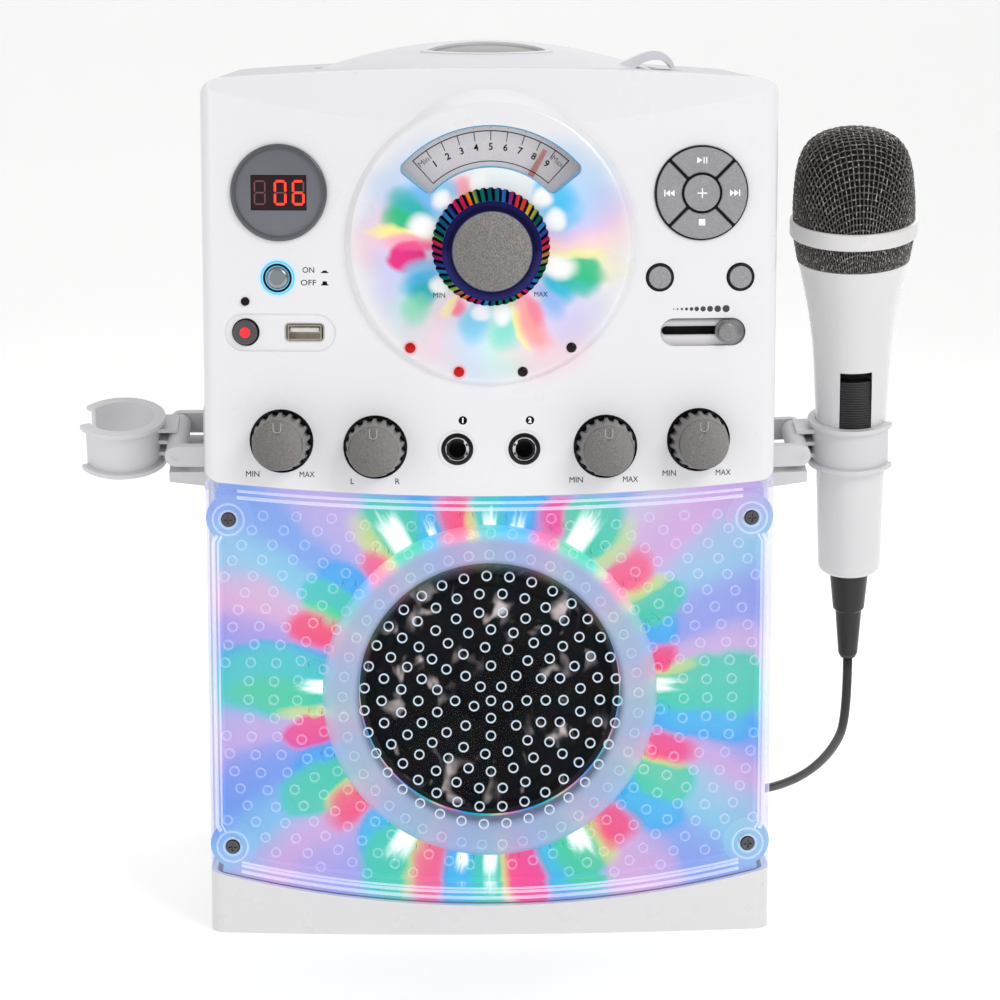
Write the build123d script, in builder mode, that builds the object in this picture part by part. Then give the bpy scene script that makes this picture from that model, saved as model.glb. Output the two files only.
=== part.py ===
from build123d import *
import math
import os

os.makedirs("parts", exist_ok=True)

# ---------------------------------------------------------------- driving dimensions (mm)
# Frame: origin in the middle of the underside, on the table; +X to the right of a person
# facing the machine, +Y to its back, +Z up.
WIDTH = 223.4              # body width
Y_FRONT = -100.0           # front face at its middle
Y_BACK = 100.0             # back wall
BOW_R = 1011.0             # plan radius of the bowed front
Z_TOP = 341.9              # crown of the top
CROWN_R = 1475.0           # radius of the crowned top
CORNER_R = 7.0             # top corners in elevation
WALL = 2.5                 # moulding wall
Y_PART = -72.0             # parting line between front and rear mouldings
GAP = 0.3                  # gap between neighbouring mouldings
BAND_Z = 320.3             # foot of the slanted top band at the middle
BAND_SLOPE = 0.4275        # band: mm back per mm up
PANEL_Z_MID = 176.6        # lower edge of the control panel at the middle
PANEL_SAG = 4.6            # how much higher that edge is at x = 102.5
BASE_Z_MID = 11.9          # top edge of the base front at the middle
BASE_SAG = 12.6            # how much higher that edge is at x = 110

BULGE_Z, BULGE_R, BULGE_Y = 275.5, 53.7, -102.5
VOL_Z = 274.3              # volume knob centre height
SPK_Z = 95.4               # loudspeaker centre height
SPK_R = 51.8               # loudspeaker opening

DISPLAY = (-81.4, 294.8)
POWER = (-82.2, 262.0)
REC_LED = (-94.9, 252.8)
RECORD = (-95.0, 240.8)
USB = (-72.0, 240.8)
NAV = (81.4, 294.5)
SOURCE = (65.5, 262.0)
REPEAT = (97.0, 261.9)
SLIDER = (91.6, 240.9)
TRACK = (82.6, 240.6)
KNOBS = {"voice_knob": (-81.4, 198.4), "balance_knob": (-44.9, 196.2),
         "echo_knob": (44.7, 196.2), "mic_level_knob": (81.2, 198.4)}
JACK_X, JACK_Z, JACK_BORE_R = 13.05, 195.5, 3.2
LED_RING = 49.9            # indicator lamps about the volume knob

LID_Y = 8.0                # centre of the disc well, lid and disc
LID_R = 69.8
HINGE_Y, HINGE_Z = 86.5, 339.6

HOLD_X = {-1: 149.5, 1: 150.1}                 # centres of the microphone rings, left and right
HOLD_Y, HOLD_Z = -30.0, 191.0
HOLD_TILT = {-1: 18.5, 1: 12.5}                # the rings lean towards the user
RING_MID = {-1: -0.5, 1: -1.9}                 # middle of each ring along its own axis
RING_HALF = {-1: 9.9, 1: 9.6}                  # half the height of each ring
MIC_LEAN = 0.034           # sideways lean of the held microphone (sine)
PIVOT_X = 23.0             # ring centre to holder pivot

CORD_D = 4.0               # microphone cord


def yf(x):
    """Front face of the bowed body at x."""
    return Y_FRONT + x * x / (2 * BOW_R)


def face(x, z, out=0.0):
    """Plane on the bowed front at (x, z), its z axis along the outward normal."""
    n = Vector(x / BOW_R, -1, 0).normalized()
    o = Vector(x, yf(x), z) + n * out
    return Plane(origin=o, x_dir=(1, x / BOW_R, 0), z_dir=n)


def front(y):
    """Upright plane at y, seen from the front: local x, y are X, Z."""
    return Plane.XZ.offset(-y)


def base_edge(x, off=0.0):
    return BASE_Z_MID + BASE_SAG * (x / 110.0) ** 2 + off


def panel_edge(x, off=0.0):
    return PANEL_Z_MID + PANEL_SAG * (x / 102.5) ** 2 + off


# ---------------------------------------------------------------- body envelope
def envelope(inset):
    hw = WIDTH / 2 - inset
    ys = yf(WIDTH / 2) + inset
    zt = Z_TOP - inset
    zc = Z_TOP - hw * hw / (2 * CROWN_R) - inset
    with BuildPart() as env:
        with BuildSketch(Plane.XY) as plan:
            with BuildLine():
                ThreePointArc((-hw, ys), (0, Y_FRONT + inset), (hw, ys))
                Line((hw, ys), (hw, Y_BACK - inset))
                Line((hw, Y_BACK - inset), (-hw, Y_BACK - inset))
                Line((-hw, Y_BACK - inset), (-hw, ys))
            make_face()
            fillet(plan.vertices().sort_by(Axis.Y)[:2], radius=6.5 - inset)
            fillet(plan.vertices().sort_by(Axis.Y)[-2:], radius=28.0 - inset)
        extrude(amount=Z_TOP + 5)
        with BuildSketch(Plane.XZ.offset(-150)) as elev:
            with BuildLine():
                Line((-hw, 0), (hw, 0))
                Line((hw, 0), (hw, zc))
                ThreePointArc((hw, zc), (0, zt), (-hw, zc))
                Line((-hw, zc), (-hw, 0))
            make_face()
            fillet(elev.vertices().sort_by(Axis.Y)[-2:], radius=CORNER_R - inset)
        extrude(amount=300, mode=Mode.INTERSECT)
        n = Vector(0, -1, BAND_SLOPE).normalized()
        split(bisect_by=Plane(origin=Vector(0, Y_FRONT, BAND_Z) - n * inset, z_dir=n), keep=Keep.BOTTOM)
    return env.part


ENV = envelope(0.0)
ENV_WALL = envelope(WALL)
ENV_CLEAR = envelope(2.2)


def window_outline(off):
    """Outline of the clear front between base and control panel, pulled in by off."""
    x = WIDTH / 2 - off
    with BuildSketch() as outline:
        with BuildLine():
            ThreePointArc((-x, base_edge(x, off)), (0, base_edge(0, off)), (x, base_edge(x, off)))
            Line((x, base_edge(x, off)), (x, panel_edge(x, -off)))
            ThreePointArc((x, panel_edge(x, -off)), (0, panel_edge(0, -off)), (-x, panel_edge(x, -off)))
            Line((-x, panel_edge(x, -off)), (-x, base_edge(x, off)))
        make_face()
    return outline.sketch


WINDOW_OUTER = window_outline(3.8)
WINDOW_INNER = window_outline(5.4)

# ---------------------------------------------------------------- rear cabinet
with BuildPart() as rear_cabinet:
    add(ENV)
    add(ENV_WALL, mode=Mode.SUBTRACT)
    with BuildSketch(Plane.XY.offset(3.3)):
        with Locations((0, 50)):
            Rectangle(260, 243.4)
    extrude(amount=333.0 - 3.3, mode=Mode.INTERSECT)
    # internal flange along the parting line
    with BuildSketch(Plane.XZ.offset(71.7)):
        with Locations((0, 175)):
            Rectangle(218.6, 312)
        with Locations((0, 175)):
            Rectangle(206, 296, mode=Mode.SUBTRACT)
    extrude(amount=-2.0)
    # slots of the rear vent
    with BuildSketch(Plane.XZ.offset(-101)):
        with GridLocations(8, 1, 9, 1):
            with Locations((0, 245)):
                SlotOverall(46, 3.0, rotation=90)
    extrude(amount=5, mode=Mode.SUBTRACT)
    # opening behind the rear socket plate
    with BuildSketch(Plane.XZ.offset(-101)):
        with Locations((-42, 62)):
            Rectangle(72, 26)
    extrude(amount=5, mode=Mode.SUBTRACT)

# ---------------------------------------------------------------- top cover
LIP_T = math.radians(-24.0)    # where the lid's lifting lip and the finger scoop are
SCOOP = Plane(origin=(76.0 * math.cos(LIP_T), LID_Y + 76.0 * math.sin(LIP_T), 0),
              x_dir=(math.cos(LIP_T), math.sin(LIP_T), 0), z_dir=(0, 0, 1))
with BuildPart() as top_cover:
    add(ENV)
    add(ENV_WALL, mode=Mode.SUBTRACT)
    with BuildSketch(Plane.XY.offset(333.3)):
        with Locations((0, 50)):
            Rectangle(260, 243.4)
    extrude(amount=20, mode=Mode.INTERSECT)
    with BuildSketch(Plane.XY.offset(330)):
        with Locations((0, LID_Y)):
            Circle(71.0)
        with Locations((0, 82)):
            Rectangle(66.6, 22.6)
    extrude(amount=20, mode=Mode.SUBTRACT)
    # finger scoop beside the lid, under the lifting lip
    with BuildSketch(SCOOP.offset(335.6)):
        RectangleRounded(22, 24, 5)
    extrude(amount=4.0)
    with BuildSketch(SCOOP.offset(337.2)):
        RectangleRounded(18, 20, 4)
    extrude(amount=8, mode=Mode.SUBTRACT)
    with BuildSketch(Plane.XY.offset(330)):
        with Locations((0, LID_Y)):
            Circle(71.0)
    extrude(amount=20, mode=Mode.SUBTRACT)

# ---------------------------------------------------------------- control panel
with BuildPart() as control_panel:
    add(ENV)
    add(ENV_WALL, mode=Mode.SUBTRACT)
    with BuildSketch(Plane.XZ.offset(72)) as zone:
        with BuildLine():
            x = WIDTH / 2 + 1
            ThreePointArc((-x, panel_edge(x, GAP)), (0, panel_edge(0, GAP)), (x, panel_edge(x, GAP)))
            Line((x, panel_edge(x, GAP)), (x, 350))
            Line((x, 350), (-x, 350))
            Line((-x, 350), (-x, panel_edge(x, GAP)))
        make_face()
        fillet(zone.vertices().sort_by(Axis.Y)[:2], radius=7.5)
    extrude(amount=40, mode=Mode.INTERSECT)
    # raised round field with a soft shoulder
    with BuildSketch(front(-94.0)):
        with Locations((0, BULGE_Z)):
            Circle(58.9)
    extrude(amount=8.5, taper=31.46)
    fillet(control_panel.edges().filter_by(GeomType.CIRCLE).sort_by(Axis.Y)[0], radius=2.2)
    with BuildSketch(front(-88.0)):
        with Locations((0, BULGE_Z)):
            Circle(50.0)
    extrude(amount=11.7, mode=Mode.SUBTRACT)
    # volume shaft hole and dial window
    with BuildSketch(front(-90.0)):
        with Locations((0, VOL_Z)):
            Circle(5.0)
    extrude(amount=20, mode=Mode.SUBTRACT)
    with BuildSketch(front(-90.0)) as sector:
        with BuildLine():
            a = math.radians(50.7)
            r0, r1 = 30.3, 46.5
            p = lambda r, t: (r * math.sin(t), VOL_Z + r * math.cos(t))
            ThreePointArc(p(r1, -a), p(r1, 0), p(r1, a))
            Line(p(r1, a), p(r0, a))
            ThreePointArc(p(r0, a), p(r0, 0), p(r0, -a))
            Line(p(r0, -a), p(r1, -a))
        make_face()
        fillet(sector.vertices(), radius=3.0)
    extrude(amount=20, mode=Mode.SUBTRACT)
    # indicator lamp holes
    with BuildSketch(front(-90.0)):
        for t in (-38.6, -14.3, 14.3, 38.6):
            with Locations((LED_RING * math.sin(math.radians(t)), VOL_Z - LED_RING * math.cos(math.radians(t)))):
                Circle(2.0)
    extrude(amount=20, mode=Mode.SUBTRACT)
    with BuildSketch(face(*REC_LED, out=-8)):
        Circle(1.7)
    extrude(amount=16, mode=Mode.SUBTRACT)
    # display
    with BuildSketch(face(*DISPLAY, out=-8)):
        Circle(17.9)
    extrude(amount=16, mode=Mode.SUBTRACT)
    # power button
    with BuildSketch(face(*POWER, out=-8)):
        Circle(5.7)
    extrude(amount=16, mode=Mode.SUBTRACT)
    # racetrack recess with record button and USB port
    with BuildSketch(face(-81.4, 240.8, out=-0.9)):
        SlotOverall(43.2, 14.8)
    extrude(amount=6, mode=Mode.SUBTRACT)
    with BuildSketch(face(*RECORD, out=-8)):
        Circle(5.3)
    extrude(amount=16, mode=Mode.SUBTRACT)
    with BuildSketch(face(*USB, out=-8)):
        Rectangle(14.0, 6.5)
    extrude(amount=16, mode=Mode.SUBTRACT)
    # transport buttons: round recess with stem holes in its floor
    with BuildSketch(face(*NAV, out=-1.5)):
        Circle(18.4)
    extrude(amount=8, mode=Mode.SUBTRACT)
    with BuildSketch(face(*NAV, out=-8)):
        Circle(2.4)
        with PolarLocations(12.4, 4):
            Circle(2.4)
    extrude(amount=16, mode=Mode.SUBTRACT)
    for c in (SOURCE, REPEAT):
        with BuildSketch(face(*c, out=-8)):
            Circle(5.4)
        extrude(amount=16, mode=Mode.SUBTRACT)
    # light slider track
    with BuildSketch(face(*TRACK, out=-1.1)):
        SlotOverall(33.4, 10.8)
    extrude(amount=6, mode=Mode.SUBTRACT)
    with BuildSketch(face(*TRACK, out=-8)):
        with Locations((-1.4, 0.6)):
            SlotOverall(29.5, 3.4)
    extrude(amount=16, mode=Mode.SUBTRACT)
    # wells of the small knobs
    for c in KNOBS.values():
        with BuildSketch(face(*c, out=-1.5)):
            Circle(12.5)
        extrude(amount=8, mode=Mode.SUBTRACT)
        with BuildSketch(face(*c, out=-8)):
            Circle(4.0)
        extrude(amount=16, mode=Mode.SUBTRACT)
    # microphone jacks: raised ring and hole
    for s in (-1, 1):
        with BuildSketch(front(-98.5)):
            with Locations((s * JACK_X, JACK_Z)):
                Circle(7.1)
        extrude(amount=2.0)
        with BuildSketch(front(-99.85)):
            with Locations((s * JACK_X, JACK_Z)):
                Circle(6.3)
        extrude(amount=3.0, mode=Mode.SUBTRACT)
        with BuildSketch(front(-90)):
            with Locations((s * JACK_X, JACK_Z)):
                Circle(5.4)
        extrude(amount=16, mode=Mode.SUBTRACT)

# ---------------------------------------------------------------- base
with BuildPart() as base_plinth:
    add(ENV)
    add(envelope(2.6), mode=Mode.SUBTRACT)
    with BuildSketch(Plane.XZ.offset(72)):
        with BuildLine():
            x = WIDTH / 2 + 1
            ThreePointArc((-x, base_edge(x)), (0, base_edge(0)), (x, base_edge(x)))
            Line((x, base_edge(x)), (x, -1))
            Line((x, -1), (-x, -1))
            Line((-x, -1), (-x, base_edge(x)))
        make_face()
    extrude(amount=40, mode=Mode.INTERSECT)
    with BuildSketch(Plane.XY):
        with BuildLine():
            hw = WIDTH / 2
            ys = yf(hw)
            ThreePointArc((-hw + 0.4, ys + 0.4), (0, Y_FRONT + 0.4), (hw - 0.4, ys + 0.4))
            Line((hw - 0.4, ys + 0.4), (hw - 0.4, Y_BACK - 0.4))
            Line((hw - 0.4, Y_BACK - 0.4), (-hw + 0.4, Y_BACK - 0.4))
            Line((-hw + 0.4, Y_BACK - 0.4), (-hw + 0.4, ys + 0.4))
        make_face()
    extrude(amount=3.0)
    # trim the plate to the body's rounded plan
    add(ENV, mode=Mode.INTERSECT)
    # pockets for the rubber feet
    with BuildSketch(Plane.XY):
        with Locations((-88, -74), (88, -74), (-82, 74), (82, 74)):
            Circle(8.2)
    extrude(amount=1.8, mode=Mode.SUBTRACT)

with BuildPart() as rubber_feet:
    with BuildSketch(Plane.XY):
        with Locations((-88, -74), (88, -74), (-82, 74), (82, 74)):
            Circle(8.0)
    extrude(amount=1.8)

# ---------------------------------------------------------------- clear front
with BuildPart() as clear_grille:
    add(ENV)
    add(ENV_CLEAR, mode=Mode.SUBTRACT)
    with BuildSketch(Plane.XZ.offset(72.3)):
        with BuildLine():
            x = WIDTH / 2 + 1
            ThreePointArc((-x, base_edge(x, 0.25)), (0, base_edge(0, 0.25)), (x, base_edge(x, 0.25)))
            Line((x, base_edge(x, 0.25)), (x, panel_edge(x, -0.1)))
            ThreePointArc((x, panel_edge(x, -0.1)), (0, panel_edge(0, -0.1)), (-x, panel_edge(x, -0.1)))
            Line((-x, panel_edge(x, -0.1)), (-x, base_edge(x, 0.25)))
        make_face()
    extrude(amount=40, mode=Mode.INTERSECT)
    # screw posts
    for sx in (-1, 1):
        for z in (35.4, 167.2):
            with BuildSketch(face(sx * 102.6, z, out=-2.0)):
                Circle(4.2)
            extrude(amount=-9.0)
            with BuildSketch(face(sx * 102.6, z, out=-12)):
                Circle(1.6)
            extrude(amount=16, mode=Mode.SUBTRACT)
            with BuildSketch(face(sx * 102.6, z, out=-0.9)):
                Circle(3.0)
            extrude(amount=6, mode=Mode.SUBTRACT)

with BuildPart() as grille_screws:
    for sx in (-1, 1):
        for z in (35.4, 167.2):
            with BuildSketch(face(sx * 102.6, z, out=-0.85)):
                Circle(2.6)
            extrude(amount=1.5)
            with BuildSketch(face(sx * 102.6, z, out=-0.85)):
                Circle(1.4)
            extrude(amount=-12.5)
            with BuildSketch(face(sx * 102.6, z, out=-0.15)):
                Rectangle(3.2, 0.7)
                Rectangle(0.7, 3.2)
            extrude(amount=2, mode=Mode.SUBTRACT)

# ---------------------------------------------------------------- light chamber behind it
LED_COUNT, LED_R = 24, 70.5
with BuildPart() as light_reflector:
    with BuildSketch(front(-76.2)):
        add(WINDOW_OUTER)
    extrude(amount=12.0)
    with BuildSketch(front(-78.0)):
        add(WINDOW_INNER)
    extrude(amount=15.0, mode=Mode.SUBTRACT)
    with BuildSketch(front(-76.0)):
        with Locations((0, SPK_Z)):
            Circle(SPK_R + 0.3)
            with PolarLocations(LED_R, LED_COUNT, start_angle=7.5):
                Circle(2.8)
        with Locations((-102.6, 35.4), (102.6, 35.4), (-102.6, 167.2), (102.6, 167.2)):
            Circle(5.0)
    extrude(amount=20.0, mode=Mode.SUBTRACT)

with BuildPart() as speaker_ring:
    with BuildSketch(front(-78.05)):
        with Locations((0, SPK_Z)):
            Circle(66.6)
            Circle(SPK_R + 0.6, mode=Mode.SUBTRACT)
    extrude(amount=10.5)
    fillet(speaker_ring.edges().filter_by(GeomType.CIRCLE).group_by(Axis.Y)[0], radius=3.0)

with BuildPart() as led_ring_board:
    with BuildSketch(front(-74.4)):
        with Locations((0, SPK_Z)):
            Circle(76.0)
            Circle(57.0, mode=Mode.SUBTRACT)
    extrude(amount=1.6)

with BuildPart() as led_lamps:
    with BuildSketch(front(-76.05)):
        with Locations((0, SPK_Z)):
            with PolarLocations(LED_R, LED_COUNT, start_angle=7.5):
                Circle(2.5)
    extrude(amount=7.0)
    fillet(led_lamps.edges().filter_by(GeomType.CIRCLE).group_by(Axis.Y)[0], radius=2.2)

# ---------------------------------------------------------------- loudspeaker
SPK_AXIS = Axis((0, 0, SPK_Z), (0, 1, 0))
SPK_PLANE = Plane(origin=(0, 0, SPK_Z), x_dir=(1, 0, 0), z_dir=(0, 0, 1))
with BuildPart() as speaker_basket:
    with BuildSketch(SPK_PLANE):
        with BuildLine():
            Polyline((46.5, -76.1), (54.5, -76.1), (54.5, -74.3), (49.0, -74.3), (33.0, -52.0), (33.0, -47.0),
                     (36.0, -47.0), (36.0, -25.0), (12.0, -25.0), (12.0, -27.0), (9.0, -27.0), (9.0, -45.0),
                     (13.2, -45.0), (13.2, -49.5), (31.0, -49.5), (46.5, -73.0), (46.5, -76.1))
        make_face()
    revolve(axis=SPK_AXIS)
    with BuildSketch(front(-50.0)):
        with Locations((0, SPK_Z)):
            with PolarLocations(41.0, 6):
                SlotOverall(20, 8, rotation=90)
    extrude(amount=30, mode=Mode.SUBTRACT)

with BuildPart() as speaker_cone:
    with BuildSketch(SPK_PLANE):
        with BuildLine():
            Polyline((0, -71.6), (6, -71.0), (12, -69.2), (15.5, -66.4), (16.5, -66.0), (41.0, -76.6), (43.0, -78.6),
                     (45.2, -78.8), (46.6, -77.6), (49.8, -76.9), (49.8, -76.2), (46.0, -76.2), (45.0, -77.6),
                     (43.6, -77.5), (41.6, -75.4), (17.0, -64.9), (12.4, -61.0), (12.4, -46.0), (11.6, -46.0), (11.6, -64.6),
                     (11.0, -68.2), (6, -69.9), (0, -70.5), (0, -71.6))
        make_face()
    revolve(axis=SPK_AXIS)

# ---------------------------------------------------------------- display
with BuildPart() as display_bezel:
    with BuildSketch(face(*DISPLAY, out=-7.0)):
        Circle(17.7)
    extrude(amount=7.1)
    with BuildSketch(face(*DISPLAY, out=0.1)):
        Circle(18.7)
    extrude(amount=1.5)
    fillet(display_bezel.edges().filter_by(GeomType.CIRCLE).sort_by(Axis.Y)[0], radius=0.8)
    with BuildSketch(face(*DISPLAY, out=0.7)):
        Circle(16.9)
    extrude(amount=3, mode=Mode.SUBTRACT)
    with BuildSketch(face(*DISPLAY, out=-9)):
        Rectangle(21.6, 13.6)
    extrude(amount=15, mode=Mode.SUBTRACT)

with BuildPart() as display_module:
    with BuildSketch(face(*DISPLAY, out=-8.0)):
        Rectangle(21.2, 13.2)
    extrude(amount=8.5)
    with BuildSketch(face(*DISPLAY, out=-8.0)):
        Rectangle(26, 18)
    extrude(amount=-2.0)

# ---------------------------------------------------------------- volume dial
with BuildPart() as volume_dial_plate:
    with BuildSketch(front(-96.9)):
        with Locations((0, VOL_Z)):
            Circle(48.2)
            Circle(7.6, mode=Mode.SUBTRACT)
    extrude(amount=0.9)

with BuildPart() as volume_dial_window:
    with BuildSketch(front(-101.0)) as sector:
        with BuildLine():
            a = math.radians(50.3)
            r0, r1 = 30.5, 46.3
            ThreePointArc(p(r1, -a), p(r1, 0), p(r1, a))
            Line(p(r1, a), p(r0, a))
            ThreePointArc(p(r0, a), p(r0, 0), p(r0, -a))
            Line(p(r0, -a), p(r1, -a))
        make_face()
        fillet(sector.vertices(), radius=2.8)
    extrude(amount=1.2)

POINTER_REST = 29.75       # the red pointer stands between 8 and 9
with BuildPart() as volume_pointer:
    with BuildSketch(front(-98.5)):
        with Locations((0, VOL_Z)):
            Circle(7.0)
            Circle(5.2, mode=Mode.SUBTRACT)
    extrude(amount=0.8)
    t = math.radians(POINTER_REST)
    with BuildSketch(Plane(origin=(0, -98.5, VOL_Z), x_dir=(math.cos(t), 0, -math.sin(t)), z_dir=(0, -1, 0))):
        Polygon((-1.3, 6.3), (1.3, 6.3), (1.3, 29.0), (0.85, 42.3), (-0.85, 42.3), (-1.3, 29.0), align=None)
    extrude(amount=0.8)

# ---------------------------------------------------------------- control board with its potentiometers
with BuildPart() as control_board:
    with BuildSketch(front(-78.4)):
        with Locations((0, 250)):
            Rectangle(196, 128)
        with Locations((0, 207)):
            Rectangle(60, 50, mode=Mode.SUBTRACT)
    extrude(amount=1.6)
    with BuildSketch(front(-80.0)):
        with Locations((0, VOL_Z)):
            Circle(11.0)
        with Locations(*[c for c in KNOBS.values()]):
            Circle(8.0)
    extrude(amount=7.0)
    with BuildSketch(front(-80.0)):
        with Locations(SOURCE, REPEAT, RECORD, POWER, NAV, (NAV[0] + 12.4, NAV[1]), (NAV[0] - 12.4, NAV[1]),
                       (NAV[0], NAV[1] + 12.4), (NAV[0], NAV[1] - 12.4)):
            Rectangle(6, 6)
    extrude(amount=3.0)

# ---------------------------------------------------------------- small knobs
for knob_name, c in KNOBS.items():
    with BuildPart() as small_knob:
        with BuildSketch(face(*c, out=-1.0)):
            Circle(11.8)
        extrude(amount=13.6, taper=math.degrees(math.atan(1.9 / 13.6)))
        with BuildSketch(face(*c, out=12.6)):
            Circle(9.9)
        extrude(amount=0.8, taper=30)
        with BuildSketch(face(*c, out=-1.1)):
            with PolarLocations(11.75, 18, start_angle=100.0):
                Circle(1.4)
        extrude(amount=12.2, mode=Mode.SUBTRACT)
        with BuildSketch(face(*c, out=-1.0)):
            Circle(3.0)
        extrude(amount=-7.0)
        # pointer groove on the cap
        with BuildSketch(face(*c, out=13.0)):
            with Locations((0, 6.4)):
                SlotOverall(5.0, 1.3, rotation=90)
        extrude(amount=2, mode=Mode.SUBTRACT)
    small_knob.part.label = knob_name
    export_step(small_knob.part, "parts/" + knob_name + ".step")

with BuildPart() as volume_knob:
    with BuildSketch(front(BULGE_Y - 0.5)):
        with Locations((0, VOL_Z)):
            Circle(22.8)
    extrude(amount=21.5, taper=math.degrees(math.atan(3.9 / 21.5)))
    with BuildSketch(front(BULGE_Y - 22.0)):
        with Locations((0, VOL_Z)):
            Circle(18.6)
    extrude(amount=2.2, taper=50)
    with BuildSketch(front(BULGE_Y - 0.4)):
        with Locations((0, VOL_Z)):
            with PolarLocations(23.15, 48, start_angle=93.75):
                Circle(0.9)
    extrude(amount=16.0, mode=Mode.SUBTRACT)
    with BuildSketch(front(BULGE_Y - 0.5)):
        with Locations((0, VOL_Z)):
            Circle(3.0)
    extrude(amount=-15.5)

# ---------------------------------------------------------------- light slider
with BuildPart() as light_slider:
    with BuildSketch(face(*SLIDER, out=-0.6)):
        Circle(4.4)
    extrude(amount=1.6)
    with BuildSketch(face(*SLIDER, out=1.0)):
        Circle(3.7)
    extrude(amount=3.4, taper=4)
    fillet(light_slider.edges().filter_by(GeomType.CIRCLE).sort_by(Axis.Y)[0], radius=0.7)
    with BuildSketch(face(*SLIDER, out=-0.6)):
        with Locations((0, 0.3)):
            Rectangle(2.4, 2.2)
    extrude(amount=-5.0)

# ---------------------------------------------------------------- round buttons
with BuildPart() as power_button:
    with BuildSketch(face(*POWER, out=-3.0)):
        Circle(4.35)
    extrude(amount=4.8)
    fillet(power_button.edges().filter_by(GeomType.CIRCLE).sort_by(Axis.Y)[0], radius=1.6)
    with BuildSketch(face(*POWER, out=-3.0)):
        Circle(1.6)
    extrude(amount=-8.8)

with BuildPart() as record_button:
    with BuildSketch(face(*RECORD, out=-3.2)):
        Circle(4.75)
    extrude(amount=4.2)
    fillet(record_button.edges().filter_by(GeomType.CIRCLE).sort_by(Axis.Y)[0], radius=0.7)
    with BuildSketch(face(*RECORD, out=-3.2)):
        Circle(1.6)
    extrude(amount=-6.6)

for button_name, c in (("source_button", SOURCE), ("repeat_button", REPEAT)):
    with BuildPart() as round_button:
        with BuildSketch(face(*c, out=-3.2)):
            Circle(5.05)
        extrude(amount=3.6)
        with BuildSketch(face(*c, out=0.4)):
            Circle(4.35)
        extrude(amount=0.9)
        fillet(round_button.edges().filter_by(GeomType.CIRCLE).sort_by(Axis.Y)[0], radius=0.4)
        with BuildSketch(face(*c, out=-3.2)):
            Circle(1.6)
        extrude(amount=-7.8)
    round_button.part.label = button_name
    export_step(round_button.part, "parts/" + button_name + ".step")

# ---------------------------------------------------------------- transport buttons
NAV_GAP = 0.62
for i, button_name in enumerate(("forward_button", "play_button", "back_button", "stop_button")):
    mid = math.radians(90 * i)
    with BuildPart() as segment:
        with BuildSketch(face(*NAV, out=-0.4)) as quarter:
            Circle(17.6)
            Circle(7.9, mode=Mode.SUBTRACT)
            with BuildSketch(mode=Mode.INTERSECT):
                with BuildLine():
                    c0 = (NAV_GAP * math.sqrt(2) * math.cos(mid), NAV_GAP * math.sqrt(2) * math.sin(mid))
                    f = 40.0
                    c1 = (c0[0] + f * math.cos(mid - math.pi / 4), c0[1] + f * math.sin(mid - math.pi / 4))
                    c2 = (c0[0] + f * math.cos(mid + math.pi / 4), c0[1] + f * math.sin(mid + math.pi / 4))
                    Polyline(c0, c1, c2, c0)
                make_face()
            fillet(quarter.vertices(), radius=0.6)
        extrude(amount=2.2)
        chamfer(segment.faces().sort_by(Axis.Y)[0].edges(), length=0.35)
        with BuildSketch(face(*NAV, out=-0.4)):
            with Locations((12.4 * math.cos(mid), 12.4 * math.sin(mid))):
                Circle(1.9)
        extrude(amount=-11.0)
    segment.part.label = button_name
    export_step(segment.part, "parts/" + button_name + ".step")

with BuildPart() as skip_button:
    with BuildSketch(face(*NAV, out=-0.4)):
        Circle(6.95)
    extrude(amount=2.4)
    fillet(skip_button.edges().filter_by(GeomType.CIRCLE).sort_by(Axis.Y)[0], radius=0.4)
    with BuildSketch(face(*NAV, out=-0.4)):
        Circle(1.9)
    extrude(amount=-11.0)

# ---------------------------------------------------------------- ports and lamps on the panel
with BuildPart() as usb_port:
    with BuildSketch(face(*USB, out=-11.5)):
        RectangleRounded(13.2, 5.8, 0.6)
        RectangleRounded(12.4, 5.0, 0.4, mode=Mode.SUBTRACT)
    extrude(amount=11.2)
    with BuildSketch(face(*USB, out=-11.5)):
        RectangleRounded(13.2, 5.8, 0.6)
    extrude(amount=-1.0)
    with BuildSketch(face(*USB, out=-11.5)):
        with Locations((0, 1.0)):
            Rectangle(10.8, 1.7)
    extrude(amount=9.6)

with BuildPart() as mic_jacks:
    with BuildSketch(front(-97.2)):
        with Locations((-JACK_X, JACK_Z), (JACK_X, JACK_Z)):
            Rectangle(15.0, 17.0)
    extrude(amount=-18.0)
    with BuildSketch(front(-97.2)):
        with Locations((-JACK_X, JACK_Z), (JACK_X, JACK_Z)):
            Circle(5.2)
    extrude(amount=2.9)
    with BuildSketch(front(-100.1)):
        with Locations((-JACK_X, JACK_Z), (JACK_X, JACK_Z)):
            Circle(4.6)
    extrude(amount=0.9, taper=20)
    with BuildSketch(front(-82.0)):
        with Locations((-JACK_X, JACK_Z), (JACK_X, JACK_Z)):
            Circle(JACK_BORE_R)
    extrude(amount=25.0, mode=Mode.SUBTRACT)

with BuildPart() as indicator_leds:
    with BuildSketch(front(-97.9)):
        for t in (-38.6, -14.3, 14.3, 38.6):
            with Locations((LED_RING * math.sin(math.radians(t)), VOL_Z - LED_RING * math.cos(math.radians(t)))):
                Circle(1.85)
    extrude(amount=5.6)
    fillet(indicator_leds.edges().filter_by(GeomType.CIRCLE).group_by(Axis.Y)[0], radius=1.2)
    with BuildSketch(face(*REC_LED, out=-6.0)):
        Circle(1.5)
    extrude(amount=6.8)
    with BuildSketch(face(*POWER, out=-3.5)):
        Circle(5.6)
        Circle(4.7, mode=Mode.SUBTRACT)
    extrude(amount=4.2)

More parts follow.
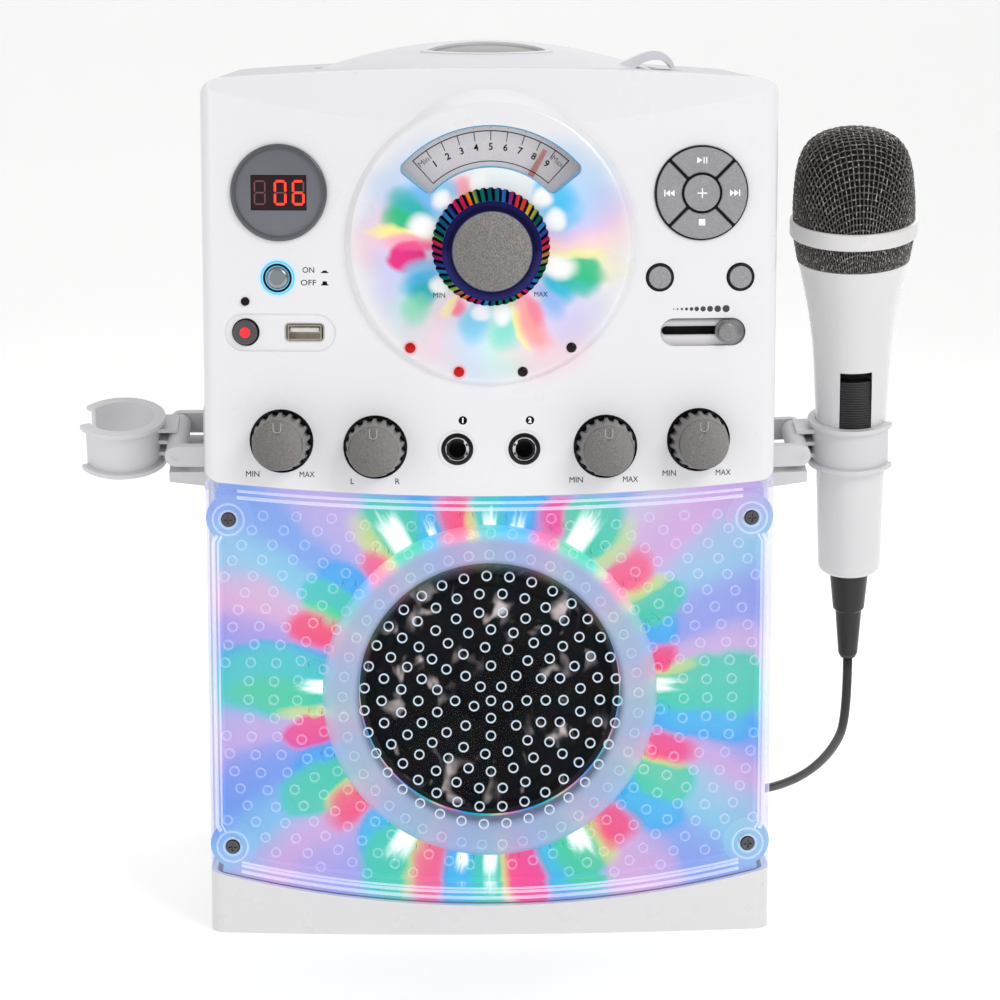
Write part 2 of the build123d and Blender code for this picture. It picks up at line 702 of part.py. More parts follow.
# ---------------------------------------------------------------- disc well, motor, pickup
with BuildPart() as disc_well:
    with BuildSketch(Plane.XY.offset(324.0)):
        with Locations((0, LID_Y)):
            Circle(65.6)
    extrude(amount=13.4)
    with BuildSketch(Plane.XY.offset(334.0)):
        with Locations((0, LID_Y)):
            Circle(70.6)
    extrude(amount=3.0)
    # hinge pocket behind the well
    with BuildSketch(Plane.XY.offset(331.0)):
        with Locations((0, 82)):
            Rectangle(66.0, 22.0)
    extrude(amount=10.2)
    with BuildSketch(Plane.XY.offset(326.0)):
        with Locations((0, LID_Y)):
            Circle(63.4)
    extrude(amount=20, mode=Mode.SUBTRACT)
    with BuildSketch(Plane.XY.offset(333.0)):
        with Locations((0, 83.4)):
            Rectangle(60.0, 17.0)
    extrude(amount=20, mode=Mode.SUBTRACT)
    with BuildSketch(Plane.YZ.offset(-34)):
        with Locations((HINGE_Y, HINGE_Z)):
            Circle(1.56)
    extrude(amount=68, mode=Mode.SUBTRACT)
    # hub hole and pickup slot in the floor
    with BuildSketch(Plane.XY.offset(320)):
        with Locations((0, LID_Y)):
            Circle(15.5)
        with Locations((0, LID_Y - 38)):
            Rectangle(20, 50)
    extrude(amount=8, mode=Mode.SUBTRACT)
    # fine floor lip that keeps the disc off the floor
    with BuildSketch(Plane.XY.offset(326.0)):
        with Locations((0, LID_Y)):
            Circle(63.4)
            Circle(61.6, mode=Mode.SUBTRACT)
    extrude(amount=3.0)

with BuildPart() as disc_motor:
    # chassis plate, motor can and the two pickup rails
    with BuildSketch(Plane.XY.offset(306.0)):
        with Locations((0, LID_Y - 18)):
            Rectangle(70, 96)
        with Locations((0, LID_Y - 40)):
            Rectangle(26, 46, mode=Mode.SUBTRACT)
    extrude(amount=2.0)
    with BuildSketch(Plane.XY.offset(308.0)):
        with Locations((0, LID_Y)):
            Circle(11.0)
    extrude(amount=14.0)
    with BuildSketch(Plane.XZ.offset(58)):
        with Locations((-12.0, 316.0), (12.0, 316.0)):
            Circle(1.5)
    extrude(amount=-60.0)
    with BuildSketch(Plane.XY.offset(308.0)):
        with Locations((-12.0, -57.0), (12.0, -57.0), (-12.0, 1.0), (12.0, 1.0)):
            Rectangle(4.4, 3.0)
    extrude(amount=10.0)

with BuildPart() as disc_hub:
    with BuildSketch(Plane.XY.offset(322.4)):
        with Locations((0, LID_Y)):
            Circle(6.0)
    extrude(amount=6.0)
    with BuildSketch(Plane.XY.offset(328.4)):
        with Locations((0, LID_Y)):
            Circle(14.5)
    extrude(amount=2.4)
    with BuildSketch(Plane.XY.offset(330.8)):
        with Locations((0, LID_Y)):
            Circle(7.35)
    extrude(amount=4.4)
    fillet(disc_hub.edges().filter_by(GeomType.CIRCLE).sort_by(Axis.Z)[-1], radius=1.6)

with BuildPart() as karaoke_disc:
    with BuildSketch(Plane.XY.offset(330.8)):
        with Locations((0, LID_Y)):
            Circle(60.0)
            Circle(7.5, mode=Mode.SUBTRACT)
    extrude(amount=1.2)

with BuildPart() as laser_pickup:
    with BuildSketch(Plane.XY.offset(311.0)):
        with Locations((0, LID_Y - 26)):
            Rectangle(16.0, 15.0)
    extrude(amount=12.0)
    with BuildSketch(Plane.XY.offset(313.0)):
        with Locations((0, LID_Y - 26)):
            Rectangle(32.0, 12.0)
    extrude(amount=6.0)
    with BuildSketch(Plane.XZ.offset(58)):
        with Locations((-12.0, 316.0), (12.0, 316.0)):
            Circle(1.56)
    extrude(amount=-60.0, mode=Mode.SUBTRACT)
    with BuildSketch(Plane.XY.offset(323.0)):
        with Locations((0, LID_Y - 26)):
            Circle(3.6)
    extrude(amount=3.6)

# ---------------------------------------------------------------- disc lid
LID_AXIS = Axis((0, LID_Y, 0), (0, 0, 1))
LID_PLANE = Plane(origin=(0, LID_Y, 0), x_dir=(1, 0, 0), z_dir=(0, -1, 0))
DOME_R = 205.0
APEX = 351.85
DOME_Z = APEX - DOME_R


def dome(r, inset=0.0):
    return DOME_Z + math.sqrt((DOME_R - inset) ** 2 - r * r)


def eye_window(off):
    """Outline of the lid's pointed oval window in plan, pulled in by off."""
    with BuildSketch() as eye:
        with BuildLine():
            a, b = (-24.4 + 1.9 * off, -25.8), (24.4 - 1.9 * off, -25.8)
            ThreePointArc(a, (0, -37.4 + off), b)
            ThreePointArc(b, (0, -12.0 - off), a)
        make_face()
        fillet(eye.vertices(), radius=1.6)
    return eye.sketch


with BuildPart() as lid_shell:
    with BuildSketch(LID_PLANE):
        with BuildLine():
            ThreePointArc((0, APEX), (34.0, dome(34.0)), (68.4, dome(68.4)))
            Polyline((68.4, dome(68.4)), (69.5, 339.3), (LID_R, 338.7), (LID_R, 337.4), (67.2, 337.4),
                     (66.4, dome(66.4, 2.0)))
            ThreePointArc((66.4, dome(66.4, 2.0)), (33.0, dome(33.0, 2.0)), (0, APEX - 2.0))
            Line((0, APEX - 2.0), (0, APEX))
        make_face()
    revolve(axis=LID_AXIS)
    # raised rim round the window
    with BuildSketch(Plane.XY.offset(335)):
        add(eye_window(-1.5))
    extrude(amount=20)
    with BuildSketch(LID_PLANE):
        with BuildLine():
            ThreePointArc((0, APEX + 0.45), (34.0, dome(34.0, -0.45)), (68.4, dome(68.4, -0.45)))
            Line((68.4, dome(68.4, -0.45)), (68.4, dome(68.4)))
            Polyline((68.4, dome(68.4)), (69.5, 339.3), (LID_R, 338.7), (LID_R, 337.4), (67.2, 337.4),
                     (66.4, dome(66.4, 2.0)))
            ThreePointArc((66.4, dome(66.4, 2.0)), (33.0, dome(33.0, 2.0)), (0, APEX - 2.0))
            Line((0, APEX - 2.0), (0, APEX + 0.45))
        make_face()
    revolve(axis=LID_AXIS, mode=Mode.INTERSECT)
    with BuildSketch(Plane.XY.offset(335)):
        add(eye_window(0.0))
    extrude(amount=20, mode=Mode.SUBTRACT)
    # arched lifting lip at the right front edge, over the finger scoop
    with BuildSketch(Plane(origin=(0, -8.0, 0), x_dir=(1, 0, 0), z_dir=(0, -1, 0))):
        with BuildLine():
            Spline((53.5, 342.4), (62.6, 346.1), (69.9, 347.5), (74.3, 345.3), (76.8, 340.6))
            Line((76.8, 340.6), (75.3, 340.6))
            Spline((75.3, 340.6), (72.9, 343.2), (68.7, 344.0), (64.4, 342.9), (60.4, 340.4))
            Line((60.4, 340.4), (53.5, 342.4))
        make_face()
    extrude(amount=13.0)
    # straight edge in front of the hinge pocket
    with BuildSketch(Plane.XY.offset(330)):
        with Locations((0, 79)):
            Rectangle(69, 20)
    extrude(amount=20, mode=Mode.SUBTRACT)
    # tongue and hinge barrel
    with BuildSketch(Plane.YZ.offset(-24)):
        with BuildLine():
            Polyline((66.0, 343.2), (78.5, 343.0), (HINGE_Y + 1.0, 342.6), (HINGE_Y + 1.0, HINGE_Z), (HINGE_Y - 2.0, HINGE_Z),
                     (HINGE_Y - 4.0, 341.2), (76.5, 341.9), (66.0, 341.9), (66.0, 343.2))
        make_face()
    extrude(amount=48)
    with BuildSketch(Plane.YZ.offset(-29.6)):
        with Locations((HINGE_Y, HINGE_Z)):
            Circle(3.3)
    extrude(amount=59.2)
    with BuildSketch(Plane.YZ.offset(-32.6)):
        with Locations((HINGE_Y, HINGE_Z)):
            Circle(1.5)
    extrude(amount=65.2)

with BuildPart() as lid_window:
    with BuildSketch(Plane.XY.offset(335)):
        add(eye_window(0.1))
    extrude(amount=20)
    with BuildSketch(LID_PLANE):
        with BuildLine():
            ThreePointArc((0, APEX - 0.5), (30.0, dome(30.0, 0.5)), (60.0, dome(60.0, 0.5)))
            Line((60.0, dome(60.0, 0.5)), (60.0, dome(60.0, 1.7)))
            ThreePointArc((60.0, dome(60.0, 1.7)), (30.0, dome(30.0, 1.7)), (0, APEX - 1.7))
            Line((0, APEX - 1.7), (0, APEX - 0.5))
        make_face()
    revolve(axis=LID_AXIS, mode=Mode.INTERSECT)

# ---------------------------------------------------------------- microphone holders
def hold_plane(side):
    """Frame of a holder ring: local z along the ring's axis, local x away from the body."""
    tilt = math.radians(HOLD_TILT[side])
    lean = MIC_LEAN if side > 0 else 0.0
    a = Vector(-lean, -math.sin(tilt), math.cos(tilt)).normalized()
    out = Vector(side, 0, 0)
    out = (out - a * out.dot(a)).normalized()
    return Plane(origin=(side * HOLD_X[side], HOLD_Y, HOLD_Z), x_dir=out, z_dir=a)


def make_holder(side, ri, ro, rf):
    mid, half = RING_MID[side], RING_HALF[side]
    pl = hold_plane(side)
    fwd = -1 if pl.y_dir.Y > 0 else 1          # local y sign that points to the front
    with BuildPart() as h:
        with BuildSketch(pl.offset(mid - half)):
            Circle(ro)
        extrude(amount=2 * half)
        for z0 in (mid - half, mid + half - 1.8):
            with BuildSketch(pl.offset(z0)):
                Circle(rf)
            extrude(amount=1.8)
        # three web plates from the ring to the pivot barrel
        for z0, t in ((-6.0, 1.7), (-0.8, 1.6), (4.3, 1.7)):
            with BuildSketch(pl.offset(mid + z0)):
                with Locations((-(PIVOT_X + 10) / 2, -fwd * 3.0)):
                    Rectangle(PIVOT_X - 10, 14.0)
            extrude(amount=t)
        # upright wall behind the webs
        with BuildSketch(pl.offset(mid - 6.0)):
            with Locations((-(PIVOT_X + 10) / 2, -fwd * 9.0)):
                Rectangle(PIVOT_X - 10, 2.0)
        extrude(amount=12.0)
        # barrel along the holder's fore-aft axis
        bp = Plane(origin=pl.from_local_coords((-PIVOT_X, -13.6, mid)), x_dir=pl.x_dir, z_dir=pl.y_dir)
        with BuildSketch(bp):
            Circle(4.3)
        extrude(amount=27.2)
        with BuildSketch(bp.offset(-1)):
            Circle(1.66)
        extrude(amount=30, mode=Mode.SUBTRACT)
        # bore of the ring and its gap towards the outside
        with BuildSketch(pl.offset(-14)):
            Circle(ri)
        extrude(amount=28, mode=Mode.SUBTRACT)
        with BuildSketch(pl.offset(-14)):
            with BuildLine():
                af, ab = math.radians(25.0), math.radians(33.0)
                Polyline((0, 0), (40 * math.cos(af), fwd * 40 * math.sin(af)),
                         (40 * math.cos(ab), -fwd * 40 * math.sin(ab)), (0, 0))
            make_face()
        extrude(amount=28, mode=Mode.SUBTRACT)
    return h.part


left_mic_clip_part = make_holder(-1, 13.6, 15.55, 18.0)
left_mic_clip_part.label = "left_mic_clip"
export_step(left_mic_clip_part, "parts/left_mic_clip.step")
right_mic_clip_part = make_holder(1, 14.65, 16.0, 17.7)
right_mic_clip_part.label = "right_mic_clip"
export_step(right_mic_clip_part, "parts/right_mic_clip.step")


def make_bracket(side):
    """Clevis on the cabinet's side: base plate, two ears, the stop shelf below and its gussets."""
    pl = hold_plane(side)
    mid = RING_MID[side]
    inner = -(HOLD_X[side] - WIDTH / 2)        # local x of the cabinet's side wall
    with BuildPart() as b:
        for y0 in (-17.2, 14.2):
            ep = Plane(origin=pl.from_local_coords((0, y0, mid)), x_dir=pl.x_dir, z_dir=pl.y_dir)
            up = 1 if ep.y_dir.Z > 0 else -1
            with BuildSketch(ep):
                with Locations((-PIVOT_X, 0)):
                    Circle(4.5)
                with Locations(((-PIVOT_X + inner - 4) / 2, 0)):
                    Rectangle(abs(inner - 4 + PIVOT_X), 9.0)
            extrude(amount=3.0)
            # gusset with a slanted lower edge
            with BuildSketch(ep):
                with BuildLine():
                    Polyline((inner - 4, -up * 8.0), (-PIVOT_X + 3.0, -up * 8.0), (-PIVOT_X + 3.0, -up * 11.4),
                             (inner - 4, -up * 14.2), (inner - 4, -up * 8.0))
                make_face()
            extrude(amount=3.0)
        # shelf under the webs, the stop that carries the opened holder
        with BuildSketch(pl.offset(mid - 9.6)):
            with Locations(((inner - 4 - PIVOT_X + 3.0) / 2, 0)):
                Rectangle(abs(inner - 4 + PIVOT_X - 3.0), 34.4)
        extrude(amount=2.6)
        # base plate against the side wall
        with BuildSketch(Plane(origin=(side * (WIDTH / 2 - 1.0), HOLD_Y, HOLD_Z - 2.0), x_dir=(0, 1, 0), z_dir=(side, 0, 0))):
            RectangleRounded(46.0, 34.0, 4.0)
        extrude(amount=4.0)
        # bore for the pivot pin
        ep = Plane(origin=pl.from_local_coords((0, -20, mid)), x_dir=pl.x_dir, z_dir=pl.y_dir)
        with BuildSketch(ep):
            with Locations((-PIVOT_X, 0)):
                Circle(1.6)
        extrude(amount=40, mode=Mode.SUBTRACT)
        # flush with the outside of the cabinet
        with BuildSketch(Plane.XY.offset(150)):
            Rectangle(WIDTH, 220)
        extrude(amount=80, mode=Mode.SUBTRACT)
    return b.part


bracket_left = make_bracket(-1)
bracket_right = make_bracket(1)
with BuildPart() as holder_brackets:
    add(bracket_left)
    add(bracket_right)

with BuildPart() as holder_pins:
    for side in (-1, 1):
        pl = hold_plane(side)
        with BuildSketch(Plane(origin=pl.from_local_coords((0, -17.0, RING_MID[side])), x_dir=pl.x_dir, z_dir=pl.y_dir)):
            with Locations((-PIVOT_X, 0)):
                Circle(1.6)
        extrude(amount=34.0)

# ---------------------------------------------------------------- microphone
MIC = hold_plane(1)
MIC_SECTION = Plane(origin=MIC.origin, x_dir=MIC.x_dir, z_dir=-MIC.y_dir)
MIC_AXIS = Axis(MIC.origin, MIC.z_dir)

with BuildPart() as mic_handle:
    with BuildSketch(MIC_SECTION):
        with BuildLine():
            Line((0, -60.0), (9.9, -60.0))
            ThreePointArc((9.9, -60.0), (12.3, -58.8), (13.05, -56.5))
            Line((13.05, -56.5), (13.95, -21.5))
            Line((13.95, -21.5), (14.5, 7.7))
            Spline((14.5, 7.7), (14.95, 18.0), (15.5, 31.1), (16.8, 46.0), (19.2, 61.0), (21.4, 71.5), (22.4, 76.0))
            Line((22.4, 76.0), (20.4, 76.0))
            Spline((20.4, 76.0), (19.5, 71.5), (17.2, 61.0), (14.9, 46.0), (13.5, 31.1), (12.7, 18.0), (12.0, 7.7))
            Line((12.0, 7.7), (11.6, -21.5))
            Line((11.6, -21.5), (10.6, -54.0))
            Line((10.6, -54.0), (0, -54.0))
            Line((0, -54.0), (0, -60.0))
        make_face()
    revolve(axis=MIC_AXIS)
    # cord hole in the end
    with BuildSketch(MIC.offset(-70)):
        Circle(2.3)
    extrude(amount=20, mode=Mode.SUBTRACT)
    # slot of the switch on the front
    with BuildSketch(Plane(origin=MIC.from_local_coords((0, -20, 0)), x_dir=MIC.x_dir, z_dir=-MIC.y_dir)):
        with Locations((0, 19.2)):
            Rectangle(13.0, 25.4)
    extrude(amount=-11.6, mode=Mode.SUBTRACT)

with BuildPart() as mic_switch:
    with BuildSketch(Plane(origin=MIC.from_local_coords((0, -9.4, 0)), x_dir=MIC.x_dir, z_dir=-MIC.y_dir)):
        with Locations((0, 17.4)):
            Rectangle(12.4, 20.6)
    extrude(amount=8)
    with BuildSketch(MIC.offset(0)):
        Circle(14.45)
    extrude(amount=40, mode=Mode.INTERSECT)

with BuildPart() as mic_band:
    with BuildSketch(MIC.offset(86.2)):
        Circle(25.7)
        Circle(24.35, mode=Mode.SUBTRACT)
    extrude(amount=6.9)
    fillet(mic_band.edges().filter_by(GeomType.CIRCLE).sort_by(SortBy.RADIUS)[-2:], radius=1.0)

with BuildPart() as mic_grille:
    with BuildSketch(MIC_SECTION):
        with BuildLine():
            Polyline((22.4, 76.1), (23.3, 80.5), (23.9, 84.5), (24.1, 86.5), (24.1, 93.0), (24.5, 95.0))
            Spline((24.5, 95.0), (23.9, 106.0), (22.0, 117.5), (15.6, 126.5), (0, 129.4), tangents=((0, 1), (-1, 0)))
            Line((0, 129.4), (0, 128.2))
            Spline((0, 128.2), (14.9, 125.4), (20.8, 117.0), (22.6, 105.6), (23.1, 95.0), tangents=((1, 0), (0, -1)))
            Polyline((23.1, 95.0), (22.8, 93.0), (22.8, 86.5), (22.6, 84.5), (22.0, 80.5), (21.2, 76.1), (22.4, 76.1))
        make_face()
    revolve(axis=MIC_AXIS)

with BuildPart() as mic_capsule:
    with BuildSketch(MIC.offset(76.2)):
        Circle(20.9)
        with Locations((12, 0)):
            Circle(3, mode=Mode.SUBTRACT)
    extrude(amount=1.6)
    with BuildSketch(MIC.offset(77.8)):
        Circle(9.0)
    extrude(amount=26.0)
    with BuildSketch(MIC.offset(100.0)):
        Circle(13.0)
    extrude(amount=10.0)
    fillet(mic_capsule.faces().sort_by(MIC_AXIS)[-1].edges(), radius=2.0)

RELIEF_END = -100.0
with BuildPart() as mic_strain_relief:
    with BuildSketch(MIC_SECTION):
        with BuildLine():
            Polyline((0, -60.1), (8.0, -60.1), (7.85, -63.0), (6.55, -77.2), (5.5, -78.4), (4.05, -98.2), (3.2, RELIEF_END),
                     (0, RELIEF_END), (0, -60.1))
        make_face()
    revolve(axis=MIC_AXIS)

# ---------------------------------------------------------------- microphone cord
down = MIC.z_dir * -1
c0 = Vector(*MIC.from_local_coords((0, 0, RELIEF_END)))
Z_LIE = CORD_D / 2 + 0.2
COIL_C = (72.0, 148.0)
COIL_R = 27.0
ENTRY = math.radians(53.13)
entry_dir = (-math.sin(ENTRY), math.cos(ENTRY))
entry_pt = (COIL_C[0] + COIL_R * math.cos(ENTRY), COIL_C[1] + COIL_R * math.sin(ENTRY))
tube_end = (entry_pt[0] - 22 * entry_dir[0], entry_pt[1] - 22 * entry_dir[1], Z_LIE)
before_end = (tube_end[0] - 18 * entry_dir[0], tube_end[1] - 18 * entry_dir[1], Z_LIE)
c1 = c0 + down * 29.0
CORD_POINTS = [(c0.X, c0.Y, c0.Z), (c1.X, c1.Y, c1.Z), (152.6, 22.0, 46.0), (145.2, 54.0, 26.5), (133.5, 94.0, 9.5),
               (124.0, 122.0, Z_LIE), before_end, tube_end]
OUT_POINTS = [(48.0, COIL_C[1] + COIL_R, 6.2), (36.0, COIL_C[1] + COIL_R, 6.2),
              (24.5, COIL_C[1] + COIL_R - 3.5, 6.2)]


def corner_radii(points):
    radii = []
    for a, b, c in zip(points, points[1:], points[2:]):
        u, v = Vector(*b) - Vector(*a), Vector(*c) - Vector(*b)
        turn = u.get_angle(v)
        radii.append(0.45 * min(u.length, v.length) / math.tan(math.radians(turn / 2)))
    return radii


def cord_length(points, radii):
    total = sum((Vector(*b) - Vector(*a)).length for a, b in zip(points, points[1:]))
    for (a, b, c), r in zip(zip(points, points[1:], points[2:]), radii):
        turn = math.radians((Vector(*b) - Vector(*a)).get_angle(Vector(*c) - Vector(*b)))
        total -= 2 * r * math.tan(turn / 2) - r * turn
    return total


cord_radii, out_radii = corner_radii(CORD_POINTS), corner_radii(OUT_POINTS)
with BuildPart() as mic_cable:
    with BuildLine() as route:
        FilletPolyline(*CORD_POINTS, radius=cord_radii)
    with BuildSketch(Plane(origin=CORD_POINTS[0], z_dir=route.line % 0)):
        Circle(CORD_D / 2)
    sweep(path=route.line)
with BuildPart() as cable_tail:
    with BuildLine() as tail:
        FilletPolyline(*OUT_POINTS, radius=out_radii)
    with BuildSketch(Plane(origin=OUT_POINTS[0], z_dir=tail.line % 0)):
        Circle(CORD_D / 2)
    sweep(path=tail.line)
print("cord radii", [round(r, 1) for r in cord_radii], "tail radii", [round(r, 1) for r in out_radii])
for who, pts, rad, solid in (("cord", CORD_POINTS, cord_radii, mic_cable.part), ("tail", OUT_POINTS, out_radii, cable_tail.part)):
    length = cord_length(pts, rad)
    print(who, "length", round(length, 1), "volume / (section x length)",
          round(solid.volume / (math.pi * CORD_D ** 2 / 4 * length), 4))
cable_parts = Compound(children=[mic_cable.part.solid(), cable_tail.part.solid()])

with BuildPart() as mic_cable_coil:
    with BuildSketch(Plane.XY.offset(0.05)):
        with Locations(COIL_C):
            Circle(29.3)
            Circle(16.8, mode=Mode.SUBTRACT)
    extrude(amount=16.15)
    fillet(mic_cable_coil.edges().filter_by(GeomType.CIRCLE).group_by(Axis.Z)[-1], radius=3.0)
    # the cord's two ends where they run off the outer turn
    with BuildSketch(Plane(origin=tube_end, z_dir=(entry_dir[0], entry_dir[1], 0))):
        Circle(CORD_D / 2)
    extrude(amount=20.0)
    with BuildSketch(Plane(origin=OUT_POINTS[0], z_dir=(1, 0, 0))):
        Circle(CORD_D / 2)
    extrude(amount=20.0)

plug_dir = (Vector(*OUT_POINTS[2]) - Vector(*OUT_POINTS[1])).normalized()
PLUG = Plane(origin=OUT_POINTS[2], z_dir=plug_dir)
with BuildPart() as mic_plug:
    with BuildSketch(PLUG):
        Circle(3.0)
    extrude(amount=10.0)
    with BuildSketch(PLUG.offset(10.0)):
        Circle(6.0)
    extrude(amount=26.0)
    with BuildSketch(PLUG.offset(36.0)):
        Circle(3.15)
    extrude(amount=24.0)
    with BuildSketch(PLUG.offset(60.0)):
        Circle(2.1)
    extrude(amount=2.0)
    with BuildSketch(PLUG.offset(62.0)):
        Circle(3.0)
    extrude(amount=4.0, taper=25)

# ---------------------------------------------------------------- electronics at the back
with BuildPart() as main_board:
    with BuildSketch(front(86.0)):
        with Locations((20, 120)):
            Rectangle(120, 100)
    extrude(amount=1.6)
    with BuildSketch(front(84.4)):
        with Locations((50, 150)):
            Rectangle(36, 24)
        with Locations((-10, 140), (4, 140)):
            Circle(5)
        with Locations((10, 96)):
            Rectangle(16, 16)
    extrude(amount=14.0)

with BuildPart() as rear_sockets:
    with BuildSketch(front(99.0)):
        with Locations((-42, 62)):
            Rectangle(71.4, 25.4)
    extrude(amount=1.6)
    with BuildSketch(front(97.4)):
        with Locations((-42, 62)):
            Rectangle(64, 20)
    extrude(amount=5.0)
    # raised socket block outside the back; every socket lies wholly inside it
    with BuildSketch(front(110.4)):
        with Locations((-42, 62)):
            RectangleRounded(68, 21, 3)
    extrude(amount=11.4)
    with BuildSketch(front(110.4)):
        with Locations((-64, 62), (-48, 62), (-32, 62)):
            Circle(4.15)
            Circle(3.3, mode=Mode.SUBTRACT)
    extrude(amount=-1.0)
    with BuildSketch(front(112)):
        with Locations((-64, 62), (-48, 62), (-32, 62)):
            Circle(1.6)
        with Locations((-16, 62)):
            Circle(2.8)
    extrude(amount=11.8, mode=Mode.SUBTRACT)

# ---------------------------------------------------------------- export
for node_name, builder in (
        ("rear_cabinet", rear_cabinet), ("top_cover", top_cover), ("control_panel", control_panel),
        ("base_plinth", base_plinth), ("rubber_feet", rubber_feet), ("clear_grille", clear_grille),
        ("grille_screws", grille_screws), ("light_reflector", light_reflector), ("speaker_ring", speaker_ring),
        ("led_ring_board", led_ring_board), ("led_lamps", led_lamps), ("speaker_basket", speaker_basket),
        ("speaker_cone", speaker_cone), ("display_bezel", display_bezel), ("display_module", display_module),
        ("volume_dial_plate", volume_dial_plate), ("volume_dial_window", volume_dial_window),
        ("volume_pointer", volume_pointer), ("control_board", control_board), ("volume_knob", volume_knob),
        ("light_slider", light_slider), ("power_button", power_button), ("record_button", record_button),
        ("skip_button", skip_button), ("usb_port", usb_port), ("mic_jacks", mic_jacks),
        ("indicator_leds", indicator_leds), ("disc_well", disc_well), ("disc_motor", disc_motor),
        ("disc_hub", disc_hub), ("karaoke_disc", karaoke_disc), ("laser_pickup", laser_pickup),
        ("lid_shell", lid_shell), ("lid_window", lid_window),
        ("holder_brackets", holder_brackets), ("holder_pins", holder_pins), ("mic_handle", mic_handle),
        ("mic_switch", mic_switch), ("mic_band", mic_band), ("mic_grille", mic_grille), ("mic_capsule", mic_capsule),
        ("mic_strain_relief", mic_strain_relief), ("mic_cable_coil", mic_cable_coil), ("mic_plug", mic_plug),
        ("main_board", main_board), ("rear_sockets", rear_sockets)):
    builder.part.label = node_name
    export_step(builder.part, "parts/" + node_name + ".step")
cable_parts.label = "mic_cable"
export_step(cable_parts, "parts/mic_cable.step")
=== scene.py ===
import math
import random

import bpy
from mathutils import Matrix, Vector


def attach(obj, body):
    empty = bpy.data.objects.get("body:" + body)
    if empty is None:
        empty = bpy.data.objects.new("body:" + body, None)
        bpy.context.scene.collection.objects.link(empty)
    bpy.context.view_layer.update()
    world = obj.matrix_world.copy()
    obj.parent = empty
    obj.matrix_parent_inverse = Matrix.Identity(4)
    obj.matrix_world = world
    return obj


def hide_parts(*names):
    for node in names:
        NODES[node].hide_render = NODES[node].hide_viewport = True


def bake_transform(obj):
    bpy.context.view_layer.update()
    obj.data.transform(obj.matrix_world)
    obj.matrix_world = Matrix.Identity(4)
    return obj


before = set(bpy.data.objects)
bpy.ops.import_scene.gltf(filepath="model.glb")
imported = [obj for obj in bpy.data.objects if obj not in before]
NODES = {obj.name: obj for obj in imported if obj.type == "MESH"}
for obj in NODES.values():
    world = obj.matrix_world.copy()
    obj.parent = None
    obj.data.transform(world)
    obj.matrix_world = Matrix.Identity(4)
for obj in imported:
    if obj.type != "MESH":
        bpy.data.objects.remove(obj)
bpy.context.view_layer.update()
scene = bpy.context.scene
MM = 0.001
rng = random.Random(7)

# ------------------------------------------------------------------ camera
cam_data = bpy.data.cameras.new("camera")
cam_data.lens = 112.2
cam_data.sensor_width = 36.0
cam_data.clip_start = 0.05
cam_data.clip_end = 50
camera = bpy.data.objects.new("camera", cam_data)
scene.collection.objects.link(camera)
camera.location = (-0.027, -1.300, 0.3655)
camera.rotation_euler = (math.radians(90 - 9.0), 0, math.radians(-1.46))
scene.camera = camera
scene.view_settings.view_transform = "Standard"

# ------------------------------------------------------------------ body geometry, millimetres
BOW_R = 1011.0
VOL_Z, SPK_Z, BULGE_Z = 274.3, 95.4, 275.5
DISPLAY, POWER, RECORD, USB = (-81.4, 294.8), (-82.2, 262.0), (-95.0, 240.8), (-72.0, 240.8)
REC_LED, NAV, SOURCE, REPEAT = (-94.9, 252.8), (81.4, 294.5), (65.5, 262.0), (97.0, 261.9)
SLIDER, TRACK = (91.6, 240.9), (82.6, 240.6)
KNOBS = {"voice_knob": (-81.4, 198.4), "balance_knob": (-44.9, 196.2),
         "echo_knob": (44.7, 196.2), "mic_level_knob": (81.2, 198.4)}
JACK_X, JACK_Z = 13.05, 195.5


def yf(x):
    return -100.0 + x * x / (2 * BOW_R)


def normal(x):
    return Vector((x / BOW_R, -1, 0)).normalized()


def face_frame(x, z, out=0.0):
    """Matrix whose X, Y, Z columns are along the face, up, and out of it."""
    n = normal(x)
    ux = Vector((1, x / BOW_R, 0)).normalized()
    uy = n.cross(ux)
    o = Vector((x, yf(x), z)) + n * out
    return Matrix(((ux.x, uy.x, n.x, o.x), (ux.y, uy.y, n.y, o.y), (ux.z, uy.z, n.z, o.z), (0, 0, 0, 1)))


def s2l(c):
    """sRGB 0..255 to linear, with alpha 1."""
    out = []
    for v in c[:3]:
        v = v / 255.0
        out.append(v / 12.92 if v <= 0.04045 else ((v + 0.055) / 1.055) ** 2.4)
    return tuple(out) + (1.0,)


# ------------------------------------------------------------------ mesh helpers
def make_obj(name, verts, faces, mat, smooth=True, scale=MM):
    me = bpy.data.meshes.new(name)
    me.from_pydata([tuple(c * scale for c in v) for v in verts], [], faces)
    me.validate()
    me.update()
    if smooth:
        for p in me.polygons:
            p.use_smooth = True
    o = bpy.data.objects.new(name, me)
    scene.collection.objects.link(o)
    if mat is not None:
        me.materials.append(mat)
    return o


def put(name, verts, faces, mat, body, smooth=True, sharp=None):
    o = make_obj(name, verts, faces, mat, smooth)
    if sharp is not None:
        me = o.data
        me.set_sharp_from_angle(angle=math.radians(sharp))
    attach(o, body)
    return o


